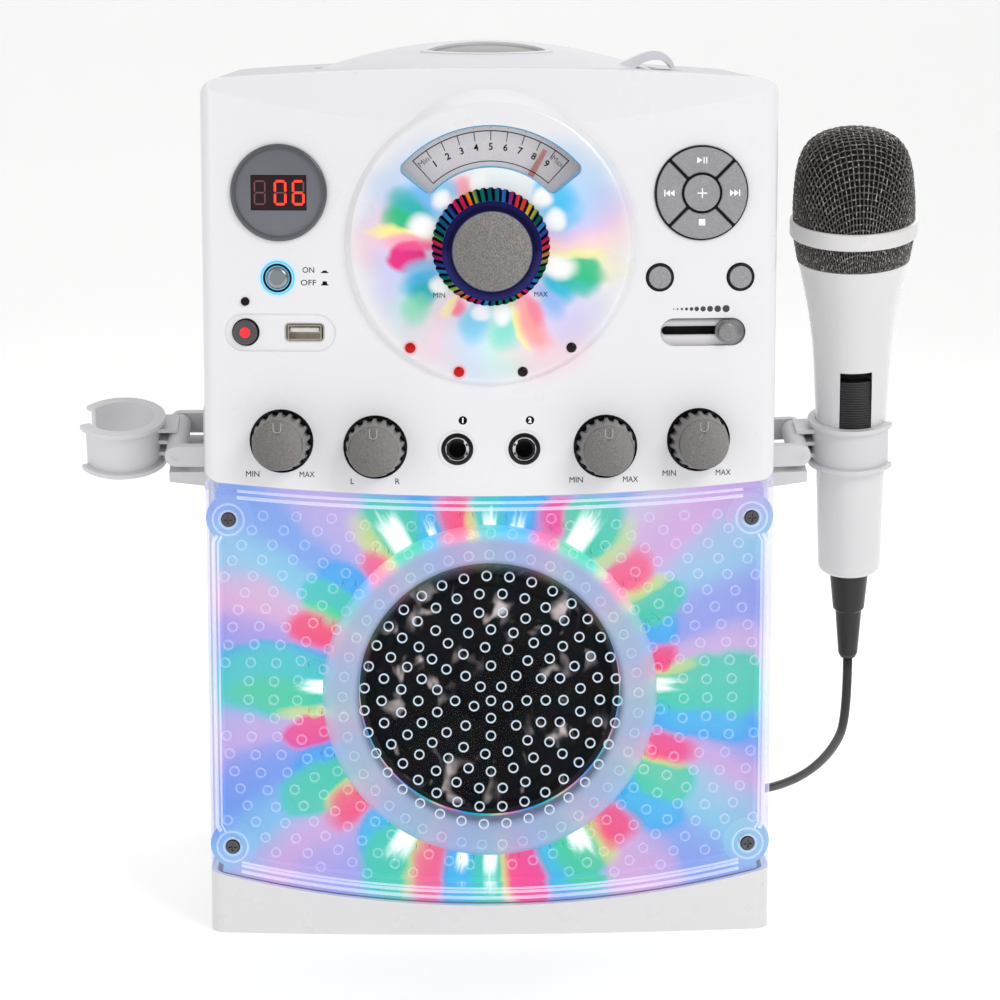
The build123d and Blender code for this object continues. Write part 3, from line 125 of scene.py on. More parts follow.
class Geo:
    """Collects faces of several shapes into one mesh."""

    def __init__(self):
        self.v, self.f = [], []

    def add(self, verts, faces, m=None):
        b = len(self.v)
        for p in verts:
            q = m @ Vector(p) if m is not None else Vector(p)
            self.v.append((q.x, q.y, q.z))
        self.f += [tuple(i + b for i in f) for f in faces]

    def lathe(self, profile, seg=48, m=None, closed=False, start=0.0, span=2 * math.pi):
        """profile: (r, h) pairs turned about the local Z axis."""
        full = abs(span - 2 * math.pi) < 1e-6
        cols = seg if full else seg + 1
        verts, faces = [], []
        for k in range(cols):
            a = start + span * k / seg
            for r, h in profile:
                verts.append((r * math.cos(a), r * math.sin(a), h))
        n = len(profile)
        rows = n if closed else n - 1
        for k in range(seg):
            k2 = (k + 1) % cols
            for i in range(rows):
                j = (i + 1) % n
                faces.append((k * n + i, k2 * n + i, k2 * n + j, k * n + j))
        self.add(verts, faces, m)

    def polygon(self, outline, depth, m=None, hole=None):
        """A plate of the outline (list of (u, v)) with its face at 0 and sides down to -depth."""
        n = len(outline)
        verts = [(u, v, 0) for u, v in outline] + [(u, v, -depth) for u, v in outline]
        faces = [tuple(range(n)), tuple(reversed(range(n, 2 * n)))]
        for i in range(n):
            j = (i + 1) % n
            faces.append((i, i + n, j + n, j))
        self.add(verts, faces, m)

    def tube(self, pts, radius, seg=10, caps=True, closed=False, twist_up=None):
        """A tube along the points, with a transported frame. radius is a number or a list."""
        P = [Vector(p) for p in pts]
        n = len(P)
        tang = []
        for i in range(n):
            if closed:
                t = P[(i + 1) % n] - P[i - 1]
            else:
                t = P[min(i + 1, n - 1)] - P[max(i - 1, 0)]
            tang.append(t.normalized())
        ref = Vector((0, 0, 1)) if abs(tang[0].z) < 0.9 else Vector((1, 0, 0))
        nrm = (ref - tang[0] * ref.dot(tang[0])).normalized()
        verts, faces = [], []
        for i in range(n):
            if i:
                nrm = (nrm - tang[i] * nrm.dot(tang[i])).normalized()
            bi = tang[i].cross(nrm)
            r = radius[i] if isinstance(radius, (list, tuple)) else radius
            for k in range(seg):
                a = 2 * math.pi * k / seg
                q = P[i] + nrm * (r * math.cos(a)) + bi * (r * math.sin(a))
                verts.append((q.x, q.y, q.z))
        last = n if closed else n - 1
        for i in range(last):
            i2 = (i + 1) % n
            for k in range(seg):
                k2 = (k + 1) % seg
                faces.append((i * seg + k, i * seg + k2, i2 * seg + k2, i2 * seg + k))
        if caps and not closed:
            faces.append(tuple(reversed(range(seg))))
            faces.append(tuple((n - 1) * seg + k for k in range(seg)))
        self.add(verts, faces)

    def put(self, name, mat, body, slot, smooth=True, sharp=35):
        return put(name, self.v, self.f, mat, body, smooth, sharp)


def face_points(outline, cx, cz, out, on=None):
    """Outline given as (u, v) about (cx, cz), laid on the bowed front at a height out."""
    res = []
    for u, v in outline:
        x, z = cx + u, cz + v
        y = (on if on is not None else yf(x)) - out
        res.append((x, y, z))
    return res


def decal(geo, outline, cx, cz, out, thick=0.12, on=None):
    """A thin flat-printed shape on the front."""
    n = len(outline)
    top = face_points(outline, cx, cz, out, on)
    bot = face_points(outline, cx, cz, out - thick, on)
    faces = [tuple(range(n)), tuple(reversed(range(n, 2 * n)))]
    for i in range(n):
        j = (i + 1) % n
        faces.append((i, i + n, j + n, j))
    geo.add(top + bot, faces)


def circle(r, n=32, cx=0.0, cz=0.0):
    return [(cx + r * math.cos(2 * math.pi * i / n), cz + r * math.sin(2 * math.pi * i / n)) for i in range(n)]


# ------------------------------------------------------------------ material helpers
def new_mat(name):
    m = bpy.data.materials.new(name)
    m.use_nodes = True
    nt = m.node_tree
    return m, nt, nt.nodes["Principled BSDF"]


class N:
    """Short node building."""

    def __init__(self, nt):
        self.nt = nt
        self.coord = None

    def node(self, kind, **kw):
        n = self.nt.nodes.new(kind)
        for k, v in kw.items():
            setattr(n, k, v)
        return n

    def link(self, a, b):
        self.nt.links.new(a, b)

    def obj(self):
        if self.coord is None:
            self.coord = self.node("ShaderNodeTexCoord").outputs["Object"]
        return self.coord

    def math(self, op, a, b=None, c=None, clamp=False):
        n = self.node("ShaderNodeMath", operation=op, use_clamp=clamp)
        for i, v in enumerate((a, b, c)):
            if v is None:
                continue
            if isinstance(v, (int, float)):
                n.inputs[i].default_value = v
            else:
                self.link(v, n.inputs[i])
        return n.outputs[0]

    def vec(self, x, y, z):
        n = self.node("ShaderNodeCombineXYZ")
        for i, v in enumerate((x, y, z)):
            if isinstance(v, (int, float)):
                n.inputs[i].default_value = v
            else:
                self.link(v, n.inputs[i])
        return n.outputs[0]

    def xyz(self):
        s = self.node("ShaderNodeSeparateXYZ")
        self.link(self.obj(), s.inputs[0])
        return s.outputs

    def noise(self, scale, detail=2.0, rough=0.5, vector=None, distort=0.0):
        n = self.node("ShaderNodeTexNoise")
        n.inputs["Scale"].default_value = scale
        n.inputs["Detail"].default_value = detail
        n.inputs["Roughness"].default_value = rough
        n.inputs["Distortion"].default_value = distort
        self.link(vector if vector is not None else self.obj(), n.inputs["Vector"])
        return n.outputs["Fac"]

    def ramp(self, fac, stops, interp="LINEAR"):
        n = self.node("ShaderNodeValToRGB")
        cr = n.color_ramp
        cr.interpolation = interp
        while len(cr.elements) < len(stops):
            cr.elements.new(0.5)
        for e, (p, c) in zip(cr.elements, stops):
            e.position = p
            e.color = c if len(c) == 4 else tuple(c) + (1,)
        self.link(fac, n.inputs[0])
        return n.outputs[0]

    def step(self, v, lo, hi, to_lo=0.0, to_hi=1.0, smooth=True):
        n = self.node("ShaderNodeMapRange")
        n.interpolation_type = "SMOOTHSTEP" if smooth else "LINEAR"
        n.inputs["From Min"].default_value = lo
        n.inputs["From Max"].default_value = hi
        n.inputs["To Min"].default_value = to_lo
        n.inputs["To Max"].default_value = to_hi
        self.link(v, n.inputs["Value"])
        return n.outputs[0]

    def mix(self, fac, a, b, blend="MIX"):
        n = self.node("ShaderNodeMix", data_type="RGBA", blend_type=blend)
        if isinstance(fac, (int, float)):
            n.inputs[0].default_value = fac
        else:
            self.link(fac, n.inputs[0])
        for i, v in ((6, a), (7, b)):
            if isinstance(v, tuple):
                n.inputs[i].default_value = v if len(v) == 4 else v + (1,)
            else:
                self.link(v, n.inputs[i])
        return n.outputs[2]

    def bump(self, height, strength, dist=0.0002, normal=None):
        n = self.node("ShaderNodeBump")
        n.inputs["Strength"].default_value = strength
        n.inputs["Distance"].default_value = dist
        self.link(height, n.inputs["Height"])
        if normal is not None:
            self.link(normal, n.inputs["Normal"])
        return n.outputs[0]


def scaled(c, k):
    return tuple(min(1.0, v * k) for v in c[:3]) + (1.0,)


def finish_mat(name, color, rough=0.4, metallic=0.0, var=0.04, var_scale=45, rvar=0.06, bump=0.06, bump_scale=1400,
               bump_dist=0.00004, coat=0.0, spec=0.5, emit=None, emit_strength=0.0, wear=None):
    """Moulded or metal surface: a little mottling, uneven gloss, fine grain."""
    m, nt, b = new_mat(name)
    g = N(nt)
    col = color if len(color) == 4 else s2l(color)
    big = g.noise(var_scale, 3)
    c = g.mix(big, scaled(col, 1 - var), scaled(col, 1 + var))
    if wear:
        w = g.step(g.noise(var_scale * 4, 5, 0.6), wear[0], wear[0] + 0.08)
        c = g.mix(w, c, wear[1])
    g.link(c, b.inputs["Base Color"])
    g.link(g.step(g.noise(var_scale * 2.3, 4), 0.25, 0.75, max(0.02, rough - rvar), min(1, rough + rvar), False), b.inputs["Roughness"])
    b.inputs["Metallic"].default_value = metallic
    b.inputs["Coat Weight"].default_value = coat
    b.inputs["Coat Roughness"].default_value = 0.08
    b.inputs["Specular IOR Level"].default_value = spec
    if bump:
        g.link(g.bump(g.noise(bump_scale, 2), bump, bump_dist), b.inputs["Normal"])
    if emit is not None:
        b.inputs["Emission Color"].default_value = emit
        b.inputs["Emission Strength"].default_value = emit_strength
    return m


def speckle_mat(name, color, rough=0.35, metallic=0.7, amount=0.35, scale=3600):
    """Metallic paint: fine light and dark flakes."""
    m, nt, b = new_mat(name)
    g = N(nt)
    col = s2l(color)
    flake = g.noise(scale, 1.0, 0.5)
    amount = amount * 0.75
    c = g.mix(g.step(flake, 0.38, 0.68), scaled(col, 1 - amount), scaled(col, 1 + amount))
    g.link(g.mix(g.step(g.noise(90, 2), 0.3, 0.7, 0.0, 0.25), c, scaled(col, 0.8)), b.inputs["Base Color"])
    g.link(g.step(flake, 0.3, 0.7, rough - 0.1, rough + 0.12, False), b.inputs["Roughness"])
    b.inputs["Metallic"].default_value = metallic
    g.link(g.bump(g.noise(scale * 0.8, 1), 0.15, 0.00003), b.inputs["Normal"])
    return m


def glow_mat(name, color, strength, base=None):
    m, nt, b = new_mat(name)
    g = N(nt)
    c = s2l(color)
    b.inputs["Emission Color"].default_value = c
    b.inputs["Emission Strength"].default_value = strength
    k = base if base is not None else scaled(c, 0.4)
    g.link(g.mix(g.noise(300, 2), scaled(k, 0.85), k), b.inputs["Base Color"])
    b.inputs["Roughness"].default_value = 0.25
    return m


# ------------------------------------------------------------------ lamp colours round a centre
PINK, YELLOW, GREEN = s2l((252, 120, 140)), s2l((240, 235, 140)), s2l((0, 200, 140))
TEAL, CYAN, BLUE = s2l((0, 198, 190)), s2l((20, 190, 240)), s2l((110, 150, 230))
LAV, MAGENTA, WHITE = s2l((170, 160, 225)), s2l((240, 30, 140)), (1, 1, 1, 1)


def polar(g, cx, cz):
    """(angle, distance in metres) about a centre on the front, from the part's own coordinates."""
    x, y, z = g.xyz()
    dx = g.math("SUBTRACT", x, cx * MM)
    dz = g.math("SUBTRACT", z, cz * MM)
    r = g.math("SQRT", g.math("ADD", g.math("MULTIPLY", dx, dx), g.math("MULTIPLY", dz, dz)))
    return g.math("ARCTAN2", dz, dx), r, dx, dz


def fan(g, theta, r, start, period, warp_k, seed):
    """Repeating fan position 0..1, clockwise from start degrees, edges warped along the rays."""
    ray = g.vec(g.math("MULTIPLY", g.math("COSINE", theta), 1.3), g.math("MULTIPLY", g.math("SINE", theta), 1.3),
                g.math("ADD", g.math("MULTIPLY", r, 9.0), seed))
    w = g.math("MULTIPLY", g.math("SUBTRACT", g.noise(2.2, 3, 0.55, ray), 0.5), warp_k)
    t = g.math("DIVIDE", g.math("SUBTRACT", math.radians(start), theta), math.radians(period))
    return g.math("FRACT", g.math("ADD", g.math("ADD", t, w), 20.0))


# ------------------------------------------------------------------ materials
M = {}
M["panel"] = None
WHITE_PLASTIC = (236, 236, 239)


def petals(g, c, theta, r, items, warp=0.26, rwarp=0.010, scale=58, soft=1.6):
    """Pools of light about a centre: (angle, half width, inner and outer radius in mm, colour, strength)."""
    x, y, z = g.xyz()
    flat = g.vec(x, 0.0, z)
    grow = 1.0 + 0.30 * (soft - 1.0)
    th = g.math("ADD", theta, g.math("MULTIPLY", g.math("SUBTRACT", g.noise(scale, 2, 0.5, flat), 0.5), warp))
    rw = g.math("ADD", r, g.math("MULTIPLY", g.math("SUBTRACT", g.noise(scale * 0.8, 2, 0.5, flat, 0.3), 0.5), rwarp))
    ct, st = g.math("COSINE", th), g.math("SINE", th)
    for ang, half, r0, r1, col, k, edge in items:
        a = math.radians(ang)
        d = g.math("ADD", g.math("MULTIPLY", ct, math.cos(a)), g.math("MULTIPLY", st, math.sin(a)))
        # rounded pool: squared distance over angle and radius, 1 on its outline
        across = g.math("MULTIPLY", g.math("SUBTRACT", 1.0, d), 1.0 / (1.0 - math.cos(math.radians(half * 1.18 * grow))))
        rm, rh = (r0 + r1) / 2 * MM, (r1 - r0) / 2 * 1.12 * grow * MM
        along = g.math("MULTIPLY", g.math("SUBTRACT", rw, rm), 1.0 / rh)
        q = g.math("ADD", across, g.math("MULTIPLY", along, along))
        m = g.math("SUBTRACT", 1.0, g.step(q, max(0.0, 1.0 - 2.2 * edge * soft), 1.0 + 1.5 * edge * soft))
        c = g.mix(g.math("MULTIPLY", m, k), c, s2l(col))
    return c


KNOB_PETALS = [
    # wide soft pools of painted lamp light first
    (150, 26, 22, 44, (176, 206, 244), 0.75, 0.7), (176, 12, 22, 45, (250, 200, 212), 0.8, 0.7), (203, 16, 24, 43, (190, 196, 240), 0.8, 0.7),
    (222, 12, 24, 42, (186, 232, 224), 0.8, 0.6), (245, 14, 22, 44, (246, 208, 226), 0.75, 0.7), (262, 12, 22, 46, (196, 224, 244), 0.8, 0.6),
    (280, 9, 22, 44, (190, 238, 220), 0.8, 0.6), (302, 16, 22, 48, (246, 206, 218), 0.85, 0.6), (320, 12, 24, 46, (200, 200, 240), 0.8, 0.6),
    (352, 7, 24, 46, (240, 238, 200), 0.8, 0.6), (6, 8, 22, 46, (250, 208, 208), 0.8, 0.6), (17, 8, 22, 47, (228, 190, 236), 0.8, 0.6),
    (36, 16, 22, 47, (164, 206, 246), 0.8, 0.6), (60, 18, 22, 34, (216, 236, 246), 0.7, 0.6), (90, 20, 22, 32, (240, 246, 246), 0.7, 0.6),
    (122, 12, 22, 30, (250, 206, 220), 0.7, 0.6),
    # strong pools
    (145, 9, 25, 37, (92, 178, 238), 0.85, 0.35), (156, 8, 27, 41, (0, 176, 172), 0.95, 0.25), (163, 5, 30, 41.5, (20, 184, 116), 0.9, 0.3),
    (170, 2.6, 26, 44, (246, 238, 140), 0.9, 0.4), (176, 4.5, 23, 38, (252, 158, 176), 0.85, 0.4),
    (187, 7.5, 27.5, 37.5, (226, 30, 128), 1.0, 0.14), (180, 3, 23, 33, (250, 90, 150), 0.8, 0.4), (199, 6, 23, 34, (120, 196, 240), 0.85, 0.35),
    (207, 6, 24, 37, (40, 178, 226), 0.9, 0.25), (215, 7, 27, 37, (16, 176, 186), 0.95, 0.25), (220, 6, 33, 42, (126, 216, 180), 0.8, 0.4),
    (243, 5, 23, 29, (246, 112, 150), 0.9, 0.35), (236, 3, 24, 32, (250, 236, 170), 0.8, 0.4), (258, 7, 24, 37, (110, 206, 240), 0.85, 0.35),
    (279, 7, 24, 38, (110, 220, 204), 0.85, 0.35), (288, 2.2, 24, 40, (248, 240, 150), 0.85, 0.4), (297, 6.5, 24, 42, (248, 150, 146), 0.9, 0.3),
    (304, 4, 24, 34, (240, 120, 150), 0.8, 0.4), (319, 6, 25, 36, (120, 178, 236), 0.8, 0.4), (330, 5.5, 24, 37, (0, 184, 214), 0.95, 0.25),
    (339, 6, 28, 42, (16, 186, 170), 0.95, 0.2), (346, 6, 29, 43, (36, 190, 130), 0.95, 0.2), (355, 2.6, 27, 43, (240, 240, 170), 0.85, 0.4),
    (24, 7, 24, 36, (110, 196, 242), 0.85, 0.35), (36, 8, 24, 37, (50, 188, 240), 0.9, 0.3), (48, 6, 26, 36, (70, 190, 240), 0.85, 0.3),
    (116, 6, 23, 29, (246, 150, 170), 0.8, 0.4), (128, 6, 24, 31, (110, 200, 240), 0.85, 0.4),
    # lamp spots
    (162, 7.5, 23, 32, (255, 255, 255), 1.0, 0.25), (217, 6.5, 22, 27.5, (255, 255, 255), 0.95, 0.3), (261, 5, 22, 27.5, (255, 255, 255), 0.95, 0.3),
    (278, 6, 22, 29, (255, 255, 255), 0.95, 0.3), (344, 7.5, 22, 34, (255, 255, 255), 1.0, 0.25), (23, 6, 23, 30, (252, 255, 255), 1.0, 0.25),
    (43, 6.5, 23, 30, (255, 255, 255), 1.0, 0.25), (136, 6, 23, 28.5, (255, 255, 255), 1.0, 0.3), (100, 6, 23, 28, (255, 255, 255), 0.9, 0.4),
]


def panel_material():
    """Glossy white moulding, lit round the volume knob by six coloured lamps and round the power button by one."""
    m, nt, b = new_mat("panel_white")
    g = N(nt)
    theta, r, dx, dz = polar(g, 0, VOL_Z)
    c = petals(g, s2l(WHITE_PLASTIC), theta, r, KNOB_PETALS)
    lit = g.math("SUBTRACT", 1.0, g.step(r, 0.036, 0.050))
    # soft glow round the power button
    _, rp, _, _ = polar(g, POWER[0], POWER[1])
    pglow = g.math("SUBTRACT", 1.0, g.step(rp, 0.0056, 0.0086))
    c = g.mix(g.math("MULTIPLY", pglow, 0.8), c, s2l((110, 205, 246)))
    # red glow round the two lit indicators
    for lx in (-38.6, -14.3):
        a = math.radians(lx)
        _, rl, _, _ = polar(g, 49.9 * math.sin(a), VOL_Z - 49.9 * math.cos(a))
        c = g.mix(g.math("MULTIPLY", g.math("SUBTRACT", 1.0, g.step(rl, 0.0016, 0.0036)), 0.8), c, s2l((255, 140, 145)))
    fine = g.noise(30, 3)
    g.link(g.mix(fine, c, g.mix(0.012, c, (0.6, 0.6, 0.62, 1))), b.inputs["Base Color"])
    ek = g.math("MAXIMUM", g.math("MULTIPLY", lit, 0.16), g.math("MULTIPLY", pglow, 0.3))
    front = g.math("LESS_THAN", g.xyz()[1], -0.085)
    g.link(c, b.inputs["Emission Color"])
    g.link(g.math("MULTIPLY", ek, front), b.inputs["Emission Strength"])
    g.link(g.step(g.noise(40, 2), 0.25, 0.75, 0.27, 0.29, False), b.inputs["Roughness"])
    b.inputs["Coat Weight"].default_value = 0.25
    b.inputs["Coat Roughness"].default_value = 0.12
    return m


G_, C_, B_, P_, Y_, T_ = (0, 202, 156), (24, 188, 232), (92, 156, 236), (255, 104, 132), (226, 226, 128), (0, 198, 178)
CHAMBER_PETALS = [
    # wide pastel rays
    (66, 5, 60, 118, (176, 190, 232), 0.7, 0.7), (49, 5, 60, 124, (226, 208, 214), 0.8, 0.6), (40, 6, 60, 128, (224, 176, 214), 0.8, 0.6),
    (30, 5, 60, 132, (160, 206, 226), 0.8, 0.6), (17, 7, 60, 120, (168, 166, 226), 0.8, 0.6), (9, 4, 60, 112, (226, 186, 214), 0.7, 0.6),
    (-13, 5, 60, 116, (158, 170, 230), 0.8, 0.6), (-20, 5, 60, 118, (226, 176, 212), 0.75, 0.6), (-29, 6, 60, 124, (150, 210, 226), 0.8, 0.6),
    (-41, 6, 60, 128, (158, 176, 232), 0.8, 0.6), (-50, 5, 60, 124, (226, 180, 214), 0.8, 0.6), (141, 7, 60, 128, (150, 178, 232), 0.8, 0.6),
    (131, 5, 60, 124, (206, 184, 226), 0.8, 0.6), (152, 5, 60, 124, (156, 212, 228), 0.8, 0.6), (160, 5, 60, 120, (232, 180, 206), 0.85, 0.6),
    (167, 4, 60, 116, (176, 160, 224), 0.8, 0.6), (-165, 6, 60, 118, (206, 176, 222), 0.8, 0.6), (-157, 6, 60, 124, (130, 162, 232), 0.85, 0.6),
    (-148, 5, 60, 124, (150, 200, 232), 0.8, 0.6), (-138, 6, 60, 128, (216, 176, 218), 0.85, 0.6), (-130, 5, 60, 124, (190, 176, 228), 0.8, 0.6),
    # saturated pools by the lamps
    (111, 5.5, 64, 84, C_, 0.95, 0.35), (101, 5, 64, 83, P_, 0.95, 0.3), (90, 5, 63, 84, (20, 200, 196), 0.95, 0.3), (80, 5, 63, 84, (44, 186, 240), 0.95, 0.3),
    (70, 4.5, 64, 82, (250, 100, 160), 0.95, 0.3), (97, 1.8, 63, 73, Y_, 0.8, 0.5), (121, 7, 64, 90, G_, 1.0, 0.2), (128, 2.6, 64, 86, Y_, 0.8, 0.5),
    (132, 4.5, 64, 77, (250, 120, 150), 0.95, 0.35), (143, 5, 64, 82, (64, 172, 238), 0.9, 0.35), (150, 4.5, 64, 84, T_, 1.0, 0.2),
    (155, 2.2, 64, 80, (120, 220, 140), 0.8, 0.5), (160.5, 4.5, 64, 83, (255, 96, 120), 0.95, 0.3), (171.5, 4, 64, 103, (0, 186, 216), 0.95, 0.3),
    (178, 8, 63, 110, (0, 200, 186), 0.95, 0.25), (181, 4, 70, 104, (0, 204, 128), 0.9, 0.4), (-173.5, 2.0, 64, 84, Y_, 0.75, 0.5), (-167, 4.5, 64, 82, (246, 44, 132), 1.0, 0.25),
    (-157, 4, 64, 82, (60, 168, 236), 0.9, 0.35), (-150, 5.5, 64, 92, (0, 200, 160), 1.0, 0.2), (-145, 2.0, 64, 80, Y_, 0.8, 0.5),
    (-140, 5, 64, 84, (255, 104, 128), 0.95, 0.3), (-128, 4.5, 64, 82, C_, 0.95, 0.3), (-119, 7.5, 64, 90, (0, 204, 164), 1.0, 0.2),
    (-113.5, 2.0, 64, 84, Y_, 0.8, 0.5), (-109, 4.5, 64, 86, (255, 120, 146), 0.95, 0.3), (-99.5, 4.5, 63, 86, (34, 184, 236), 0.95, 0.3),
    (-90, 5, 63, 86, (20, 206, 176), 0.95, 0.3), (-84, 2.0, 64, 84, (250, 222, 120), 0.85, 0.5), (-78.5, 5, 64, 86, (255, 84, 144), 1.0, 0.25),
    (-69, 4.5, 64, 82, (30, 198, 226), 0.95, 0.3), (-61, 7, 64, 88, (10, 204, 146), 1.0, 0.2), (-54.5, 2.4, 64, 86, Y_, 0.85, 0.5),
    (-48.5, 5.5, 64, 84, (255, 98, 122), 0.95, 0.3), (-37, 6, 64, 92, (20, 180, 236), 0.95, 0.3), (-28, 5.5, 64, 88, (0, 204, 156), 1.0, 0.2),
    (-22.5, 2.2, 64, 82, Y_, 0.8, 0.5), (-18, 4.5, 64, 86, (255, 92, 132), 0.95, 0.3), (-8, 4, 64, 106, (22, 180, 236), 0.9, 0.35),
    (1, 6.5, 63, 110, (0, 202, 160), 1.0, 0.18), (6.5, 2.0, 64, 84, Y_, 0.7, 0.5), (10.5, 3.6, 64, 76, (255, 86, 118), 0.95, 0.3),
    (20, 4, 64, 78, (54, 176, 238), 0.9, 0.35), (28, 5.5, 64, 86, (0, 198, 160), 1.0, 0.2), (33.5, 2.2, 64, 82, Y_, 0.8, 0.5),
    (40.5, 5.5, 64, 81, (255, 118, 136), 0.95, 0.3), (50, 3.4, 64, 84, (206, 226, 130), 0.85, 0.5), (59, 7, 64, 90, G_, 1.0, 0.2),
]
FLARES = [(59.5, 3.6, 63, 82), (121, 3.6, 63, 82), (90, 2.4, 61, 73), (80.5, 2.4, 61, 72), (1, 2.3, 62, 75), (179, 2.3, 62, 76), (-119, 3.6, 63, 80),
          (-99, 2.0, 63, 76), (-90, 2.2, 63, 78), (-60, 3.4, 62, 78), (110, 1.6, 64, 72), (-20, 1.2, 63, 68)]


def chamber_colour(g, light=0.0, start=10.5):
    """Pale far field of the light show behind the clear front, coloured round the loudspeaker."""
    theta, r, dx, dz = polar(g, 0, SPK_Z)
    t = fan(g, theta, r, start, 30.0, 0.42, 8.0)
    pale = g.ramp(t, [(0.0, s2l((208, 176, 220))), (0.16, s2l((206, 188, 220))), (0.34, s2l((170, 200, 228))), (0.50, s2l((156, 186, 230))),
                      (0.68, s2l((146, 166, 228))), (0.86, s2l((172, 166, 226))), (1.0, s2l((208, 176, 220)))])
    x, y, z = g.xyz()
    c = g.mix(0.45, pale, g.mix(g.step(g.noise(17, 2, 0.5, g.vec(x, 0.0, z)), 0.35, 0.65), s2l((150, 172, 232)), s2l((182, 170, 228))))
    near = g.math("SUBTRACT", 1.0, g.step(r, 0.066, 0.090))
    lively = g.ramp(t, [(0.0, s2l((250, 110, 140))), (0.20, s2l((232, 230, 150))), (0.34, s2l((20, 205, 140))), (0.50, s2l((0, 196, 190))),
                        (0.66, s2l((40, 184, 236))), (0.82, s2l((130, 160, 232))), (1.0, s2l((250, 110, 140)))])
    c = g.mix(g.math("MULTIPLY", near, 0.6), c, lively)
    if light:
        c = g.mix(light, c, WHITE)
    return c, theta, r


def reflector_material():
    m, nt, b = new_mat("light_reflector")
    g = N(nt)
    c, theta, r = chamber_colour(g)
    c = petals(g, c, theta, r, CHAMBER_PETALS, warp=0.16, rwarp=0.020, scale=36, soft=1.2)
    c = g.mix(0.10, c, s2l((90, 176, 240)))
    deep = g.node("ShaderNodeHueSaturation")
    deep.inputs["Saturation"].default_value = 1.22
    g.link(c, deep.inputs["Color"])
    c = deep.outputs["Color"]
    # lamp flares: white, ragged along the rays
    ray = g.vec(g.math("MULTIPLY", g.math("COSINE", theta), 22.0), g.math("MULTIPLY", g.math("SINE", theta), 22.0), g.math("MULTIPLY", r, 40.0))
    ragged = g.math("MULTIPLY", g.math("SUBTRACT", g.noise(1.4, 4, 0.7, ray), 0.5), 0.020)
    ct, st = g.math("COSINE", theta), g.math("SINE", theta)
    hot = None
    for ang, half, r0, r1 in FLARES:
        a = math.radians(ang)
        d = g.math("ADD", g.math("MULTIPLY", ct, math.cos(a)), g.math("MULTIPLY", st, math.sin(a)))
        side = g.step(g.math("ADD", d, g.math("MULTIPLY", ragged, 0.10)), math.cos(math.radians(half * 1.25)), math.cos(math.radians(half * 0.35)))
        rr = g.math("ADD", r, ragged)
        k = g.math("MULTIPLY", g.step(rr, (r0 - 1) * MM, (r0 + 1) * MM), g.math("SUBTRACT", 1.0, g.step(rr, (r1 - 7) * MM, (r1 + 3) * MM)))
        k = g.math("MULTIPLY", side, k)
        hot = k if hot is None else g.math("MAXIMUM", hot, k)
    c = g.mix(g.math("MULTIPLY", hot, 0.95), c, WHITE)
    dark = g.mix(0.80, c, (0, 0, 0, 1))
    g.link(dark, b.inputs["Base Color"])
    g.link(c, b.inputs["Emission Color"])
    g.link(g.math("ADD", 0.80, g.math("MULTIPLY", hot, 0.4)), b.inputs["Emission Strength"])
    b.inputs["Roughness"].default_value = 0.45
    g.link(g.bump(g.noise(220, 3), 0.25, 0.0006), b.inputs["Normal"])
    return m


def clear_material(name, alpha_face, alpha_edge, glow=0.25, light=0.35, rough=0.06, spec=0.5):
    """Clear moulding that carries the lamps' colours in its edges and stays clear over the loudspeaker."""
    m, nt, b = new_mat(name)
    g = N(nt)
    c, theta, r = chamber_colour(g, light)
    lw = g.node("ShaderNodeLayerWeight")
    lw.inputs["Blend"].default_value = 0.35
    away = g.step(r, 0.050, 0.056, 0.05, 1.0)
    g.link(g.math("MULTIPLY", away, g.step(lw.outputs["Facing"], 0.25, 0.95, alpha_face, alpha_edge)), b.inputs["Alpha"])
    g.link(c, b.inputs["Base Color"])
    g.link(c, b.inputs["Emission Color"])
    b.inputs["Emission Strength"].default_value = glow
    b.inputs["Specular IOR Level"].default_value = spec
    g.link(g.step(g.noise(120, 3), 0.3, 0.7, rough, rough + 0.05, False), b.inputs["Roughness"])
    return m


